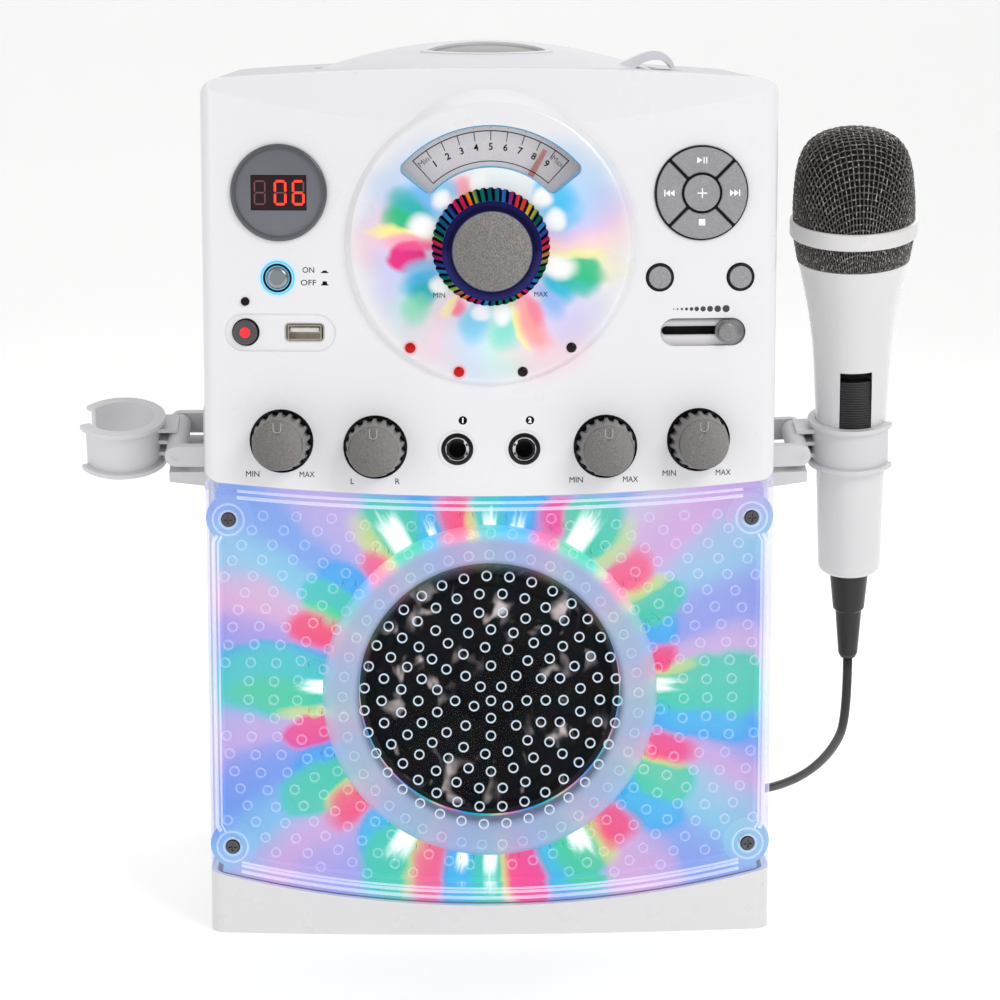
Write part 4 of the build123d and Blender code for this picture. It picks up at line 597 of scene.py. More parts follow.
def knob_material():
    """Volume knob: flaked grey cap with painted shade on its left and lower side, dark blue bevel with painted
    highlights on its edges, dark mirror flutes with the lamps' reflections painted on them and painted shade between
    them.
    """
    m, nt, b = new_mat("volume_knob")
    g = N(nt)
    theta, r, dx, dz = polar(g, 0, VOL_Z)
    y = g.xyz()[1]
    flake = g.noise(2900, 1)
    base = s2l((150, 147, 144))
    cap = g.mix(g.step(flake, 0.36, 0.70), scaled(base, 0.68), scaled(base, 1.34))
    # painted shade: the cap darker on its left and lower side
    slope = g.math("ADD", g.math("MULTIPLY", dx, 0.8), g.math("MULTIPLY", dz, 0.35))
    cap = g.mix(g.step(slope, -0.012, 0.012, 0.45, 0.0), cap, scaled(base, 0.55))
    # painted reflection: the lamps' colours on the flutes, uneven from flute to flute and made to glow
    t = fan(g, theta, r, 4.0, 60.0, 0.8, 5.0)
    side = g.ramp(t, [(0.0, s2l((176, 16, 66))), (0.14, s2l((196, 60, 30))), (0.22, s2l((160, 160, 40))), (0.34, s2l((0, 112, 56))),
                      (0.52, s2l((10, 90, 80))), (0.66, s2l((40, 110, 170))), (0.82, s2l((40, 50, 120))), (1.0, s2l((190, 20, 70)))])
    bars = g.math("SINE", g.math("MULTIPLY", theta, 48.0))
    wn = g.node("ShaderNodeTexWhiteNoise", noise_dimensions="1D")
    g.link(g.math("FLOOR", g.math("MULTIPLY", theta, 48.0 / (2 * math.pi))), wn.inputs["W"])
    side = g.mix(g.step(wn.outputs["Value"], 0.0, 1.0, 0.55, 0.0, False), side, s2l((10, 14, 60)))
    # painted shade in the grooves between the flutes
    side = g.mix(g.step(bars, -0.6, 0.3, 1.0, 0.0), side, s2l((6, 6, 22)))
    is_bevel = g.step(r, 0.01490, 0.01505)
    is_side = g.math("GREATER_THAN", y, -0.1244)
    # painted highlights: lighter blue on the bevel's outer and inner edges
    edge = g.math("MULTIPLY", g.step(r, 0.0168, 0.0176), 0.8)
    navy = g.mix(edge, s2l((20, 12, 66)), s2l((28, 30, 108)))
    navy = g.mix(g.math("SUBTRACT", 1.0, g.step(r, 0.01505, 0.01545)), navy, s2l((60, 84, 150)))
    c = g.mix(is_bevel, cap, navy)
    c = g.mix(is_side, c, side)
    g.link(c, b.inputs["Base Color"])
    g.link(g.math("MULTIPLY", g.math("SUBTRACT", 1.0, is_side), 0.75), b.inputs["Metallic"])
    g.link(g.math("MULTIPLY", g.math("SUBTRACT", 1.0, is_side), 0.5), b.inputs["Specular IOR Level"])
    rough = g.math("ADD", g.math("MULTIPLY", g.math("SUBTRACT", 1.0, is_bevel), 0.28), 0.13)
    g.link(rough, b.inputs["Roughness"])
    g.link(side, b.inputs["Emission Color"])
    g.link(g.math("MULTIPLY", is_side, 0.45), b.inputs["Emission Strength"])
    g.link(g.bump(flake, 0.12, 0.00003), b.inputs["Normal"])
    return m


def small_knob_material(name, cx, cz):
    """Flaked grey cap, with a painted highlight on its right side and painted shade on its left, on a ribbed skirt that
    turns dark towards its base.
    """
    m, nt, b = new_mat(name)
    g = N(nt)
    theta, r, dx, dz = polar(g, cx, cz)
    flake = g.noise(2900, 1)
    base = s2l((128, 125, 123))
    cap = g.mix(g.step(flake, 0.36, 0.70), scaled(base, 0.72), scaled(base, 1.26))
    slope = g.math("ADD", g.math("MULTIPLY", dx, 0.9), g.math("MULTIPLY", dz, 0.3))
    # painted highlight on the cap's right side and painted shade on its left side
    cap = g.mix(g.step(slope, -0.002, 0.011, 0.0, 0.45), cap, scaled(base, 1.7))
    cap = g.mix(g.step(slope, -0.009, 0.001, 0.35, 0.0), cap, scaled(base, 0.5))
    y = g.xyz()[1]
    depth = g.step(y, (yf(cx) - 3.2) * MM, (yf(cx) - 0.2) * MM)
    c = g.mix(depth, cap, s2l((22, 22, 24)))
    g.link(c, b.inputs["Base Color"])
    b.inputs["Metallic"].default_value = 0.55
    g.link(g.step(flake, 0.3, 0.7, 0.30, 0.48, False), b.inputs["Roughness"])
    g.link(g.bump(flake, 0.12, 0.00003), b.inputs["Normal"])
    return m


def bezel_material():
    m, nt, b = new_mat("display_bezel")
    g = N(nt)
    theta, r, dx, dz = polar(g, *DISPLAY)
    rim = g.step(r, 0.01655, 0.01700)
    c = g.mix(rim, s2l((112, 113, 121)), s2l((86, 88, 92)))
    shade = g.step(dz, -0.017, 0.017)
    c = g.mix(g.math("MULTIPLY", shade, 0.25), c, s2l((60, 62, 70)))
    c = g.mix(g.noise(90, 3), c, g.mix(0.06, c, (0.5, 0.5, 0.52, 1)))
    g.link(c, b.inputs["Base Color"])
    g.link(g.step(rim, 0, 1, 0.32, 0.2, False), b.inputs["Roughness"])
    b.inputs["Metallic"].default_value = 0.2
    b.inputs["Coat Weight"].default_value = 0.3
    g.link(g.bump(g.noise(1100, 2), 0.05, 0.00003), b.inputs["Normal"])
    return m


def led_material():
    """Two red lamps lit, the others dark."""
    m, nt, b = new_mat("indicator_leds")
    g = N(nt)
    x, y, z = g.xyz()
    lit = g.math("MULTIPLY", g.math("GREATER_THAN", x, -0.060), g.math("LESS_THAN", x, 0.0))
    c = g.mix(lit, s2l((26, 8, 10)), s2l((176, 4, 8)))
    c = g.mix(g.noise(500, 2), c, g.mix(0.2, c, (0.02, 0, 0, 1)))
    g.link(c, b.inputs["Base Color"])
    g.link(c, b.inputs["Emission Color"])
    g.link(g.math("MULTIPLY", lit, 0.35), b.inputs["Emission Strength"])
    b.inputs["Roughness"].default_value = 0.12
    b.inputs["Specular IOR Level"].default_value = 0.25
    return m


def cone_material():
    """Black doped paper with blurred glints of the lamps."""
    m, nt, b = new_mat("speaker_cone")
    g = N(nt)
    theta, r, dx, dz = polar(g, 0, SPK_Z)
    x, y, z = g.xyz()
    flat = g.vec(x, 0.0, g.math("MULTIPLY", z, 0.75))
    blot = g.noise(92, 2, 0.5, flat, 0.5)
    gl = g.math("MULTIPLY", g.step(blot, 0.55, 0.72), g.step(g.noise(24, 1, 0.5, flat), 0.38, 0.56))
    gl = g.math("MULTIPLY", gl, g.step(r, 0.004, 0.014))
    c = g.mix(gl, s2l((5, 4, 6)), s2l((186, 174, 172)))
    g.link(c, b.inputs["Base Color"])
    g.link(c, b.inputs["Emission Color"])
    g.link(g.math("MULTIPLY", gl, 0.42), b.inputs["Emission Strength"])
    b.inputs["Roughness"].default_value = 0.5
    b.inputs["Specular IOR Level"].default_value = 0.06
    g.link(g.bump(g.noise(140, 4, 0.6), 0.6, 0.0010), b.inputs["Normal"])
    return m


def disc_material():
    """Blank optical disc: fine rings, faint colours painted as a rainbow reflection."""
    m, nt, b = new_mat("karaoke_disc")
    g = N(nt)
    x, y, z = g.xyz()
    dy = g.math("SUBTRACT", y, 0.008)
    r = g.math("SQRT", g.math("ADD", g.math("MULTIPLY", x, x), g.math("MULTIPLY", dy, dy)))
    rings = g.math("SINE", g.math("MULTIPLY", r, 5200.0))
    a = g.math("ARCTAN2", dy, x)
    fan_t = g.math("FRACT", g.math("ADD", g.math("MULTIPLY", a, 0.9), 3.0))
    # painted reflection: faint rainbow colours in fans round the centre
    tint = g.ramp(fan_t, [(0.0, s2l((168, 162, 158))), (0.25, s2l((188, 186, 170))), (0.5, s2l((160, 170, 172))), (0.75, s2l((178, 165, 176))), (1.0, s2l((168, 162, 158)))])
    c = g.mix(g.step(rings, -1, 1, 0.0, 0.35), tint, s2l((110, 105, 100)))
    hub = g.step(r, 0.0225, 0.0235)
    c = g.mix(hub, s2l((190, 192, 195)), c)
    g.link(c, b.inputs["Base Color"])
    b.inputs["Metallic"].default_value = 0.85
    b.inputs["Roughness"].default_value = 0.22
    b.inputs["Anisotropic"].default_value = 0.5
    g.link(g.bump(rings, 0.06, 0.00005), b.inputs["Normal"])
    return m


def switch_material():
    """Ribbed black slider of the microphone."""
    m, nt, b = new_mat("mic_switch")
    g = N(nt)
    x, y, z = g.xyz()
    s = g.math("SUBTRACT", g.math("MULTIPLY", z, 0.98), g.math("MULTIPLY", y, 0.19))
    ribs = g.math("SINE", g.math("MULTIPLY", s, 2 * math.pi / 0.00105))
    # painted highlight and shade: lighter on the ribs' crests, darker in the hollows between them
    c = g.mix(g.step(ribs, -0.6, 0.9), s2l((14, 14, 15)), s2l((46, 46, 48)))
    g.link(c, b.inputs["Base Color"])
    b.inputs["Roughness"].default_value = 0.42
    g.link(g.bump(ribs, 0.8, 0.0003), b.inputs["Normal"])
    return m


def glass_material(name, tint, alpha=0.25, rough=0.05):
    m, nt, b = new_mat(name)
    g = N(nt)
    c = s2l(tint)
    g.link(g.mix(g.noise(80, 2), scaled(c, 0.95), c), b.inputs["Base Color"])
    lw = g.node("ShaderNodeLayerWeight")
    lw.inputs["Blend"].default_value = 0.3
    g.link(g.step(lw.outputs["Facing"], 0.2, 0.95, alpha, min(1, alpha + 0.5)), b.inputs["Alpha"])
    b.inputs["Roughness"].default_value = rough
    b.inputs["Specular IOR Level"].default_value = 0.9
    return m


def ring_material():
    """Frosted grey ring round the loudspeaker, with a little of the lamps' light in it."""
    m, nt, b = new_mat("speaker_ring")
    g = N(nt)
    theta, r, dx, dz = polar(g, 0, SPK_Z)
    c = g.mix(g.noise(22, 3), s2l((150, 170, 190)), s2l((156, 164, 198)))
    top = g.step(dz, 0.02, 0.064)
    c = g.mix(g.math("MULTIPLY", top, 0.5), c, s2l((148, 146, 204)))
    # the lamps' light spills over the ring's outer edge, most at the top
    spill = g.step(r, 0.0600, 0.0660)
    spill = g.math("MULTIPLY", spill, g.step(dz, 0.020, 0.050, 0.25, 0.85))
    rim_c, _, _ = chamber_colour(g, 0.0)
    c = g.mix(spill, c, petals(g, rim_c, theta, g.math("ADD", r, 0.007), CHAMBER_PETALS[21:], warp=0.16, rwarp=0.020, scale=36, soft=1.45))
    low = g.step(dz, -0.066, -0.03, 1.0, 0.0)
    c = g.mix(g.math("MULTIPLY", low, 0.45), c, s2l((134, 152, 206)))
    c = g.mix(g.step(r, 0.0520, 0.0550, 0.45, 0.0), c, s2l((110, 118, 142)))
    g.link(c, b.inputs["Base Color"])
    g.link(c, b.inputs["Emission Color"])
    g.link(g.math("ADD", 0.18, g.math("MULTIPLY", spill, 0.5)), b.inputs["Emission Strength"])
    b.inputs["Roughness"].default_value = 0.5
    g.link(g.bump(g.noise(1300, 2), 0.08, 0.00004), b.inputs["Normal"])
    return m


black_gloss = finish_mat("black_gloss", (10, 10, 12), 0.22, spec=0.25)
black_matt = finish_mat("black_matt", (24, 24, 26), 0.55, bump=0.12)
black_hole = finish_mat("black_hole", (4, 4, 5), 0.7)
print_ink = finish_mat("print_ink", (8, 8, 10), 0.6, bump=0, spec=0.1)
print_grey = finish_mat("print_grey", (62, 62, 66), 0.5, bump=0)
print_soft = finish_mat("print_soft", (86, 82, 90), 0.5, bump=0)
print_white = finish_mat("print_white", (246, 246, 248), 0.45, bump=0, emit=(1, 1, 1, 1), emit_strength=0.15)
chrome = finish_mat("chrome", (205, 205, 208), 0.14, metallic=1.0, var=0.05)
steel = finish_mat("steel", (92, 92, 95), 0.34, metallic=1.0, var=0.12)
gold = finish_mat("gold", (205, 170, 95), 0.25, metallic=1.0)
white_sat = finish_mat("white_satin", (230, 230, 231), 0.36, var=0.008)
# painted shade: the top cover is made darker grey than the front because its top lies in grazing light
cover_shaded_mat = finish_mat("cover_grey", (206, 206, 212), 0.38, var=0.02)
lid_mat = finish_mat("lid_white", (226, 226, 231), 0.34, var=0.02)
plinth_mat = finish_mat("plinth_white", (226, 225, 225), 0.30, var=0.006, coat=0.2)
clip_mat = finish_mat("clip_grey", (214, 213, 216), 0.42, var=0.03, bump=0.08)
mic_white = finish_mat("mic_white", (220, 219, 219), 0.22, var=0.01, coat=0.4)
band_mat = finish_mat("band_white", (220, 219, 219), 0.25, var=0.01, coat=0.3)
button_mat = speckle_mat("button_grey", (158, 157, 161), 0.42, 0.25, 0.14, 1900)
slider_cap = speckle_mat("slider_grey", (150, 150, 150), 0.35, 0.6, 0.25)
power_mat = finish_mat("power_metal", (150, 158, 162), 0.26, metallic=0.85, var=0.06)
record_mat = finish_mat("record_grey", (78, 72, 76), 0.34, bump=0.1)
usb_mat = finish_mat("usb_chrome", (196, 188, 176), 0.18, metallic=1.0)
board_mat = finish_mat("board_green", (18, 84, 44), 0.45)
rubber_mat = finish_mat("rubber_black", (20, 20, 20), 0.62, bump=0.2, bump_scale=700)
relief_mat = finish_mat("relief_rubber", (19, 19, 20), 0.36, bump=0.1)
cable_mat = finish_mat("cable_black", (17, 17, 18), 0.40, bump=0.15, bump_scale=900)
well_mat = finish_mat("well_black", (40, 40, 43), 0.45)
wire_mat, wnt, wb = new_mat("mesh_wire")
wg = N(wnt)
glint = wg.step(wg.noise(950, 2, 0.6), 0.50, 0.68)
wg.link(wg.mix(glint, s2l((96, 92, 90)), s2l((186, 182, 178))), wb.inputs["Base Color"])
wb.inputs["Metallic"].default_value = 0.7
wb.inputs["Roughness"].default_value = 0.30
foam_mat = finish_mat("foam_dark", (10, 9, 9), 0.9, bump=0.8, bump_scale=500, bump_dist=0.0006)
pointer_mat = glow_mat("pointer_red", (176, 10, 4), 0.22, base=s2l((150, 20, 14)))
digit_on = glow_mat("digit_lit", (255, 62, 42), 1.25)
digit_off = finish_mat("digit_dim", (104, 62, 66), 0.4, bump=0, emit=s2l((110, 60, 62)), emit_strength=0.12)
display_mat = finish_mat("display_window", (34, 6, 14), 0.12, var=0.1)
cyan_ring = glow_mat("power_ring", (120, 200, 236), 0.55, base=s2l((120, 200, 236)))
blue_line = finish_mat("ring_edge", (96, 176, 216), 0.3, emit=s2l((96, 180, 220)), emit_strength=0.3)
lamp_mat = glow_mat("lamp_white", (238, 250, 255), 1.6)
basket_mat = finish_mat("basket_black", (28, 28, 30), 0.4, metallic=0.5)
motor_mat = finish_mat("motor_steel", (150, 150, 150), 0.35, metallic=0.9)
red_dot = finish_mat("red_dot", (238, 36, 44), 0.4, emit=s2l((238, 36, 44)), emit_strength=0.35)

assign = {
    "control_panel": panel_material(), "rear_cabinet": white_sat, "top_cover": cover_shaded_mat, "base_plinth": plinth_mat,
    "lid_shell": lid_mat, "lid_window": glass_material("window_clear", (150, 146, 144), 0.55, 0.12), "rubber_feet": rubber_mat,
    "clear_grille": clear_material("clear_front", 0.07, 0.60, 0.35, 0.30), "grille_screws": steel, "holder_pins": clip_mat,
    "light_reflector": reflector_material(), "speaker_ring": ring_material(), "led_ring_board": board_mat,
    "led_lamps": None, "speaker_basket": basket_mat, "speaker_cone": cone_material(),
    "display_bezel": bezel_material(), "display_module": display_mat,
    "volume_dial_plate": None,
    "volume_dial_window": glass_material("dial_clear", (212, 210, 214), 0.18, 0.12), "volume_pointer": pointer_mat,
    "volume_knob": knob_material(), "control_board": board_mat, "main_board": board_mat,
    "light_slider": slider_cap, "power_button": power_mat, "record_button": record_mat,
    "usb_port": usb_mat, "mic_jacks": black_gloss, "indicator_leds": led_material(), "disc_well": well_mat,
    "disc_motor": motor_mat, "disc_hub": black_matt, "karaoke_disc": disc_material(), "laser_pickup": black_matt,
    "left_mic_clip": clip_mat, "right_mic_clip": clip_mat, "holder_brackets": clip_mat,
    "mic_handle": mic_white, "mic_band": band_mat, "mic_switch": switch_material(), "mic_strain_relief": relief_mat,
    "mic_capsule": foam_mat, "rear_sockets": black_matt,
}


def dial_plate_material():
    """Grey scale plate, darker at its two ends."""
    m, nt, b = new_mat("dial_plate")
    g = N(nt)
    x, y, z = g.xyz()
    k = g.math("ADD", g.step(x, 0.012, 0.036, 0.0, 0.75), g.step(x, -0.040, -0.018, 0.5, 0.0))
    c = g.mix(k, s2l((214, 212, 216)), s2l((128, 122, 128)))
    c = g.mix(g.step(z, (VOL_Z + 22) * MM, (VOL_Z + 34) * MM, 0.35, 0.0), c, s2l((150, 148, 154)))
    g.link(c, b.inputs["Base Color"])
    g.link(c, b.inputs["Emission Color"])
    b.inputs["Emission Strength"].default_value = 0.25
    b.inputs["Roughness"].default_value = 0.5
    return m


def round_button_material(name, cx, cz):
    """Grey button face in a black skirt; the black is painted shade of the dark gap round the button."""
    m, nt, b = new_mat(name)
    g = N(nt)
    theta, r, dx, dz = polar(g, cx, cz)
    flake = g.noise(1900, 1)
    base = s2l((158, 157, 161))
    c = g.mix(g.step(flake, 0.36, 0.70), scaled(base, 0.86), scaled(base, 1.14))
    # painted shade: black round the face, for the dark gap round the button
    c = g.mix(g.step(r, 0.00422, 0.00434), c, s2l((14, 14, 16)))
    g.link(c, b.inputs["Base Color"])
    b.inputs["Metallic"].default_value = 0.2
    b.inputs["Roughness"].default_value = 0.4
    return m


assign["volume_dial_plate"] = dial_plate_material()
assign["led_lamps"] = assign["light_reflector"]
for k, c in KNOBS.items():
    assign[k] = small_knob_material(k, *c)
for k in ("play_button", "back_button", "forward_button", "stop_button", "skip_button", "source_button", "repeat_button"):
    assign[k] = button_mat
assign["source_button"] = round_button_material("source_button", *SOURCE)
assign["repeat_button"] = round_button_material("repeat_button", *REPEAT)
for k, mat in assign.items():
    for s in NODES[k].material_slots:
        s.material = mat

# ------------------------------------------------------------------ microphone frame
LEAN, TILT = 0.034, math.radians(12.5)
mic_z = Vector((-LEAN, -math.sin(TILT), math.cos(TILT))).normalized()
mic_o = Vector((150.1, -30.0, 191.0))
mic_x = Vector((1, 0, 0))
mic_x = (mic_x - mic_z * mic_x.dot(mic_z)).normalized()
mic_y = mic_z.cross(mic_x)
MIC = Matrix(((mic_x.x, mic_y.x, mic_z.x, mic_o.x), (mic_x.y, mic_y.y, mic_z.y, mic_o.y),
              (mic_x.z, mic_y.z, mic_z.z, mic_o.z), (0, 0, 0, 1)))

# ------------------------------------------------------------------ the microphone's cord
c0 = MIC @ Vector((0, 0, -100.0))
c1 = c0 + (-mic_z) * 29.0
COIL_C, COIL_R, ENTRY, EXIT = (72.0, 148.0), 27.0, 53.13, 90.0
Z_LIE = 2.2
entry_dir = (-math.sin(math.radians(ENTRY)), math.cos(math.radians(ENTRY)))
entry_pt = (COIL_C[0] + COIL_R * math.cos(math.radians(ENTRY)), COIL_C[1] + COIL_R * math.sin(math.radians(ENTRY)))
tube_end = (entry_pt[0] - 22 * entry_dir[0], entry_pt[1] - 22 * entry_dir[1], Z_LIE)
before_end = (tube_end[0] - 18 * entry_dir[0], tube_end[1] - 18 * entry_dir[1], Z_LIE)
route = [tuple(c0), tuple(c1), (152.6, 22.0, 46.0), (145.2, 54.0, 26.5), (133.5, 94.0, 9.5), (124.0, 122.0, Z_LIE),
         before_end, tube_end]
# twelve places in the coil: (radius, height), 4.05 mm apart
LAYERS = [(27, 2.2), (22.9, 2.2), (18.8, 2.2), (18.8, 6.25), (22.9, 6.25), (22.9, 10.3), (18.8, 10.3), (18.8, 14.3), (22.9, 14.3),
          (27, 14.3), (27, 10.3), (27, 6.25)]
PER_TURN = 18
SQUEEZE = 1 / math.cos(math.pi / PER_TURN) ** 2 * 0.995


def coil_place(phi):
    """Radius and height at a running angle in degrees; the cord changes place in a 60 degree window."""
    k = math.floor((phi + 30.0) / 360.0)
    within = (phi + 30.0) - 360.0 * k
    a = LAYERS[max(0, min(11, k - 1))] if k > 0 else LAYERS[0]
    b = LAYERS[max(0, min(11, k))]
    s = min(1.0, within / 60.0)
    s = s * s * (3 - 2 * s)
    return a[0] + (b[0] - a[0]) * s, a[1] + (b[1] - a[1]) * s


phi = ENTRY + 8
end_phi = EXIT + 360 * 11
while phi < end_phi - 4:
    cr, cz = coil_place(phi)
    a = math.radians(phi)
    route.append((COIL_C[0] + cr * SQUEEZE * math.cos(a), COIL_C[1] + cr * SQUEEZE * math.sin(a), cz))
    phi += 360.0 / PER_TURN
route += [(66.0, COIL_C[1] + COIL_R, 6.2), (57.0, COIL_C[1] + COIL_R, 6.2), (48.0, COIL_C[1] + COIL_R, 6.2),
          (36.0, COIL_C[1] + COIL_R, 6.2), (24.5, COIL_C[1] + COIL_R - 3.5, 6.2)]

curve = bpy.data.curves.new("cord_route", "CURVE")
curve.dimensions = "3D"
curve.resolution_u = 8
sp = curve.splines.new("NURBS")
sp.points.add(len(route) - 1)
for pnt, q in zip(sp.points, route):
    pnt.co = (q[0] * MM, q[1] * MM, q[2] * MM, 1)
sp.order_u = 3
sp.use_endpoint_u = True
line_obj = bpy.data.objects.new("cord_route", curve)
scene.collection.objects.link(line_obj)
bpy.context.view_layer.update()
line_mesh = bpy.data.meshes.new_from_object(line_obj)
path = [tuple(v.co) for v in line_mesh.vertices]
bpy.data.objects.remove(line_obj)
bpy.data.meshes.remove(line_mesh)
cg = Geo()
cg.tube([tuple(c / MM for c in p) for p in path], 2.0, seg=10)
cord = make_obj("mic_cord", cg.v, cg.f, cable_mat)
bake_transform(cord)
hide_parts("mic_cable", "mic_cable_coil")

# plug: moulded handle, chrome barrel, ringed sleeve and tip
plug_o = Vector(route[-1])
plug_dir = (Vector(route[-1]) - Vector(route[-2])).normalized()
plug_q = plug_dir.to_track_quat("Z", "Y").to_matrix().to_4x4()
PLUG = Matrix.Translation(plug_o) @ plug_q
pg = Geo()
pg.lathe([(0, -1.0), (2.5, -0.9), (2.95, 0.2)] + [(2.95 + 0.35 * (i % 2) + 0.10 * i, 0.8 + i * 1.0) for i in range(9)] +
         [(4.6, 10.0), (5.6, 10.6), (5.95, 12.0), (5.95, 33.6), (5.6, 35.4), (4.2, 36.0), (3.2, 36.0)], 40, PLUG)
plug_handle = pg.put("plug_handle", black_matt, "cabinet", "plug_black")
pg = Geo()
pg.lathe([(4.9, 35.9), (4.9, 37.2), (3.15, 37.3), (3.15, 47.6)], 36, PLUG)
pg.lathe([(3.15, 48.6), (3.15, 55.6)], 36, PLUG)
pg.lathe([(3.15, 56.6), (3.0, 59.6), (2.15, 60.6), (2.15, 61.6), (3.0, 62.8), (2.2, 64.6), (0.9, 65.9), (0.0, 66.0)], 36, PLUG)
plug_metal = pg.put("plug_metal", chrome, "cabinet", "plug_black")
pg = Geo()
pg.lathe([(3.1, 47.5), (3.1, 48.7)], 32, PLUG)
pg.lathe([(3.1, 55.5), (3.1, 56.7)], 32, PLUG)
plug_rings = pg.put("plug_rings", black_gloss, "cabinet", "plug_black")
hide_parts("mic_plug")

# tie round the coil
tg = Geo()
ties = []
for ang in (200.0,):
    a = math.radians(ang)
    er = Vector((math.cos(a), math.sin(a), 0))
    mid = Vector((COIL_C[0], COIL_C[1], 8.35)) + er * 22.9
    loop = []
    for k in range(40):
        t = 2 * math.pi * k / 40
        cs, sn = math.cos(t), math.sin(t)
        ru = 6.25 * math.copysign(abs(cs) ** 0.45, cs)
        hu = 7.55 * math.copysign(abs(sn) ** 0.45, sn)
        loop.append(tuple(mid + er * ru + Vector((0, 0, hu))))
    tg.tube(loop, 0.65, seg=8, closed=True)
tie = tg.put("coil_tie", black_matt, "cabinet", "cable_black")

# ------------------------------------------------------------------ microphone head: pressed woven wire
arc, prof = [0.0], [(0.0, 129.1)]
raw = [(0.0, 129.1), (4.5, 128.9), (8.8, 128.3), (12.5, 127.3), (15.6, 125.9), (18.2, 123.8), (20.4, 120.9), (22.0, 116.9), (23.1, 111.9), (23.7, 106.0),
       (24.1, 100.5), (24.2, 95.5), (23.9, 92.5), (23.9, 86.5), (23.7, 84.0), (23.1, 80.5), (22.35, 76.3)]
for p0, p1 in zip(raw, raw[1:]):
    for k in range(1, 5):
        q = (p0[0] + (p1[0] - p0[0]) * k / 4, p0[1] + (p1[1] - p0[1]) * k / 4)
        arc.append(arc[-1] + math.dist(prof[-1], q))
        prof.append(q)


def on_head(px, py, lift=0.0):
    rho = math.hypot(px, py)
    if rho > arc[-1]:
        return None
    i = 0
    while arc[i + 1] < rho and i < len(arc) - 2:
        i += 1
    s = (rho - arc[i]) / (arc[i + 1] - arc[i])
    r = prof[i][0] + (prof[i + 1][0] - prof[i][0]) * s
    h = prof[i][1] + (prof[i + 1][1] - prof[i][1]) * s
    k = (r + lift) / r if r > 1e-6 else 1.0
    a = math.atan2(py, px)
    return MIC @ Vector((r * k * math.cos(a), r * k * math.sin(a), h + lift * max(0.0, (h - 100) / 30)))


PITCH = 2.55
wg = Geo()
nlines = int(arc[-1] / PITCH) + 1
for fam in (0, 1):
    for i in range(-nlines, nlines + 1):
        off = (i + 0.5) * PITCH
        if abs(off) >= arc[-1] - 0.6:
            continue
        half = math.sqrt(arc[-1] ** 2 - off * off)
        steps = max(4, int(2 * half / (PITCH / 3)))
        run = []
        for k in range(steps + 1):
            s = -half + 2 * half * k / steps
            wave = 0.20 * math.cos(math.pi * (s / PITCH - 0.5) + math.pi * (i + fam))
            q = on_head(s, off, wave) if fam == 0 else on_head(off, s, wave)
            if q is not None:
                run.append(tuple(q))
        if len(run) > 3:
            wg.tube(run, 0.27, seg=5, caps=False)
mesh_head = wg.put("mic_mesh", wire_mat, "microphone", "mesh_black", sharp=None)
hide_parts("mic_grille")
fg = Geo()
fg.lathe([(max(0.0, r - 1.0), h - (0.9 if h > 100 else 0.0)) for r, h in prof[::3]], 64, MIC)
foam = fg.put("mic_foam", foam_mat, "microphone", "mesh_black", sharp=None)

# small seam where head and handle meet
sg = Geo()
sg.lathe([(22.2, 75.2), (22.55, 75.5), (22.6, 76.1), (22.0, 76.3)], 72, MIC)
sg.put("mic_collar", mic_white, "microphone", "mic_white")

# ------------------------------------------------------------------ lettering, numbers and signs
def text_outline(geo, body, cap, cx, cz, rot=0.0, out=0.07, on=None, width=None, bold=0.0):
    """Generic lettering as a thin mesh on the front, its middle at (cx, cz)."""
    cu = bpy.data.curves.new("t", "FONT")
    cu.body = body
    cu.align_x, cu.align_y = "CENTER", "CENTER"
    cu.size = 1.0
    cu.offset = bold
    cu.resolution_u = 3
    o = bpy.data.objects.new("t", cu)
    scene.collection.objects.link(o)
    bpy.context.view_layer.update()
    me = bpy.data.meshes.new_from_object(o)
    xs = [v.co.x for v in me.vertices]
    ys = [v.co.y for v in me.vertices]
    mx, my = (min(xs) + max(xs)) / 2, (min(ys) + max(ys)) / 2
    k = cap / (max(ys) - min(ys))
    kx = k if width is None else width / (max(xs) - min(xs))
    ca, sa = math.cos(math.radians(rot)), math.sin(math.radians(rot))
    verts = []
    for v in me.vertices:
        u, w = (v.co.x - mx) * kx, (v.co.y - my) * k
        x, z = cx + u * ca - w * sa, cz + u * sa + w * ca
        y = (on if on is not None else yf(x)) - out
        verts.append((x, y, z))
    geo.add(verts, [tuple(p.vertices) for p in me.polygons])
    bpy.data.objects.remove(o)
    bpy.data.meshes.remove(me)
    bpy.data.curves.remove(cu)


ink = Geo()
text_outline(ink, "ON", 2.2, -70.3, 262.0 + 3.1, width=4.5)
text_outline(ink, "OFF", 2.2, -70.3, 262.0 - 1.8, width=5.9)
for dz, w in ((2.7, 0.0), (-2.1, 0.0)):
    h = 0.9 if dz > 0 else 1.6
    base_z = 262.0 + dz - 0.75
    decal(ink, [(-1.45, 0), (1.45, 0), (1.45, 0.35), (1.0, 0.35), (0.75, h), (-0.75, h), (-1.0, 0.35), (-1.45, 0.35)],
          -64.0, base_z, 0.07, 0.05)
for (kx, kz), l, r_ in ((KNOBS["voice_knob"], "MIN", "MAX"), (KNOBS["balance_knob"], "L", "R"), (KNOBS["echo_knob"], "MIN", "MAX"), (KNOBS["mic_level_knob"], "MIN", "MAX")):
    big = l == "MIN"
    sx = 10.4 if big else 8.6
    text_outline(ink, l, 2.2, kx - sx - (1.0 if big else 0.4), kz - 13.0 - (0 if big else 0.4), width=5.2 if big else 1.3)
    text_outline(ink, r_, 2.2, kx + sx - (0.5 if big else 0.0), kz - 13.0 - (0 if big else 0.4), width=5.9 if big else 1.7)
text_outline(ink, "MIN", 1.9, -19.9, 255.7, on=-102.5, width=4.5)
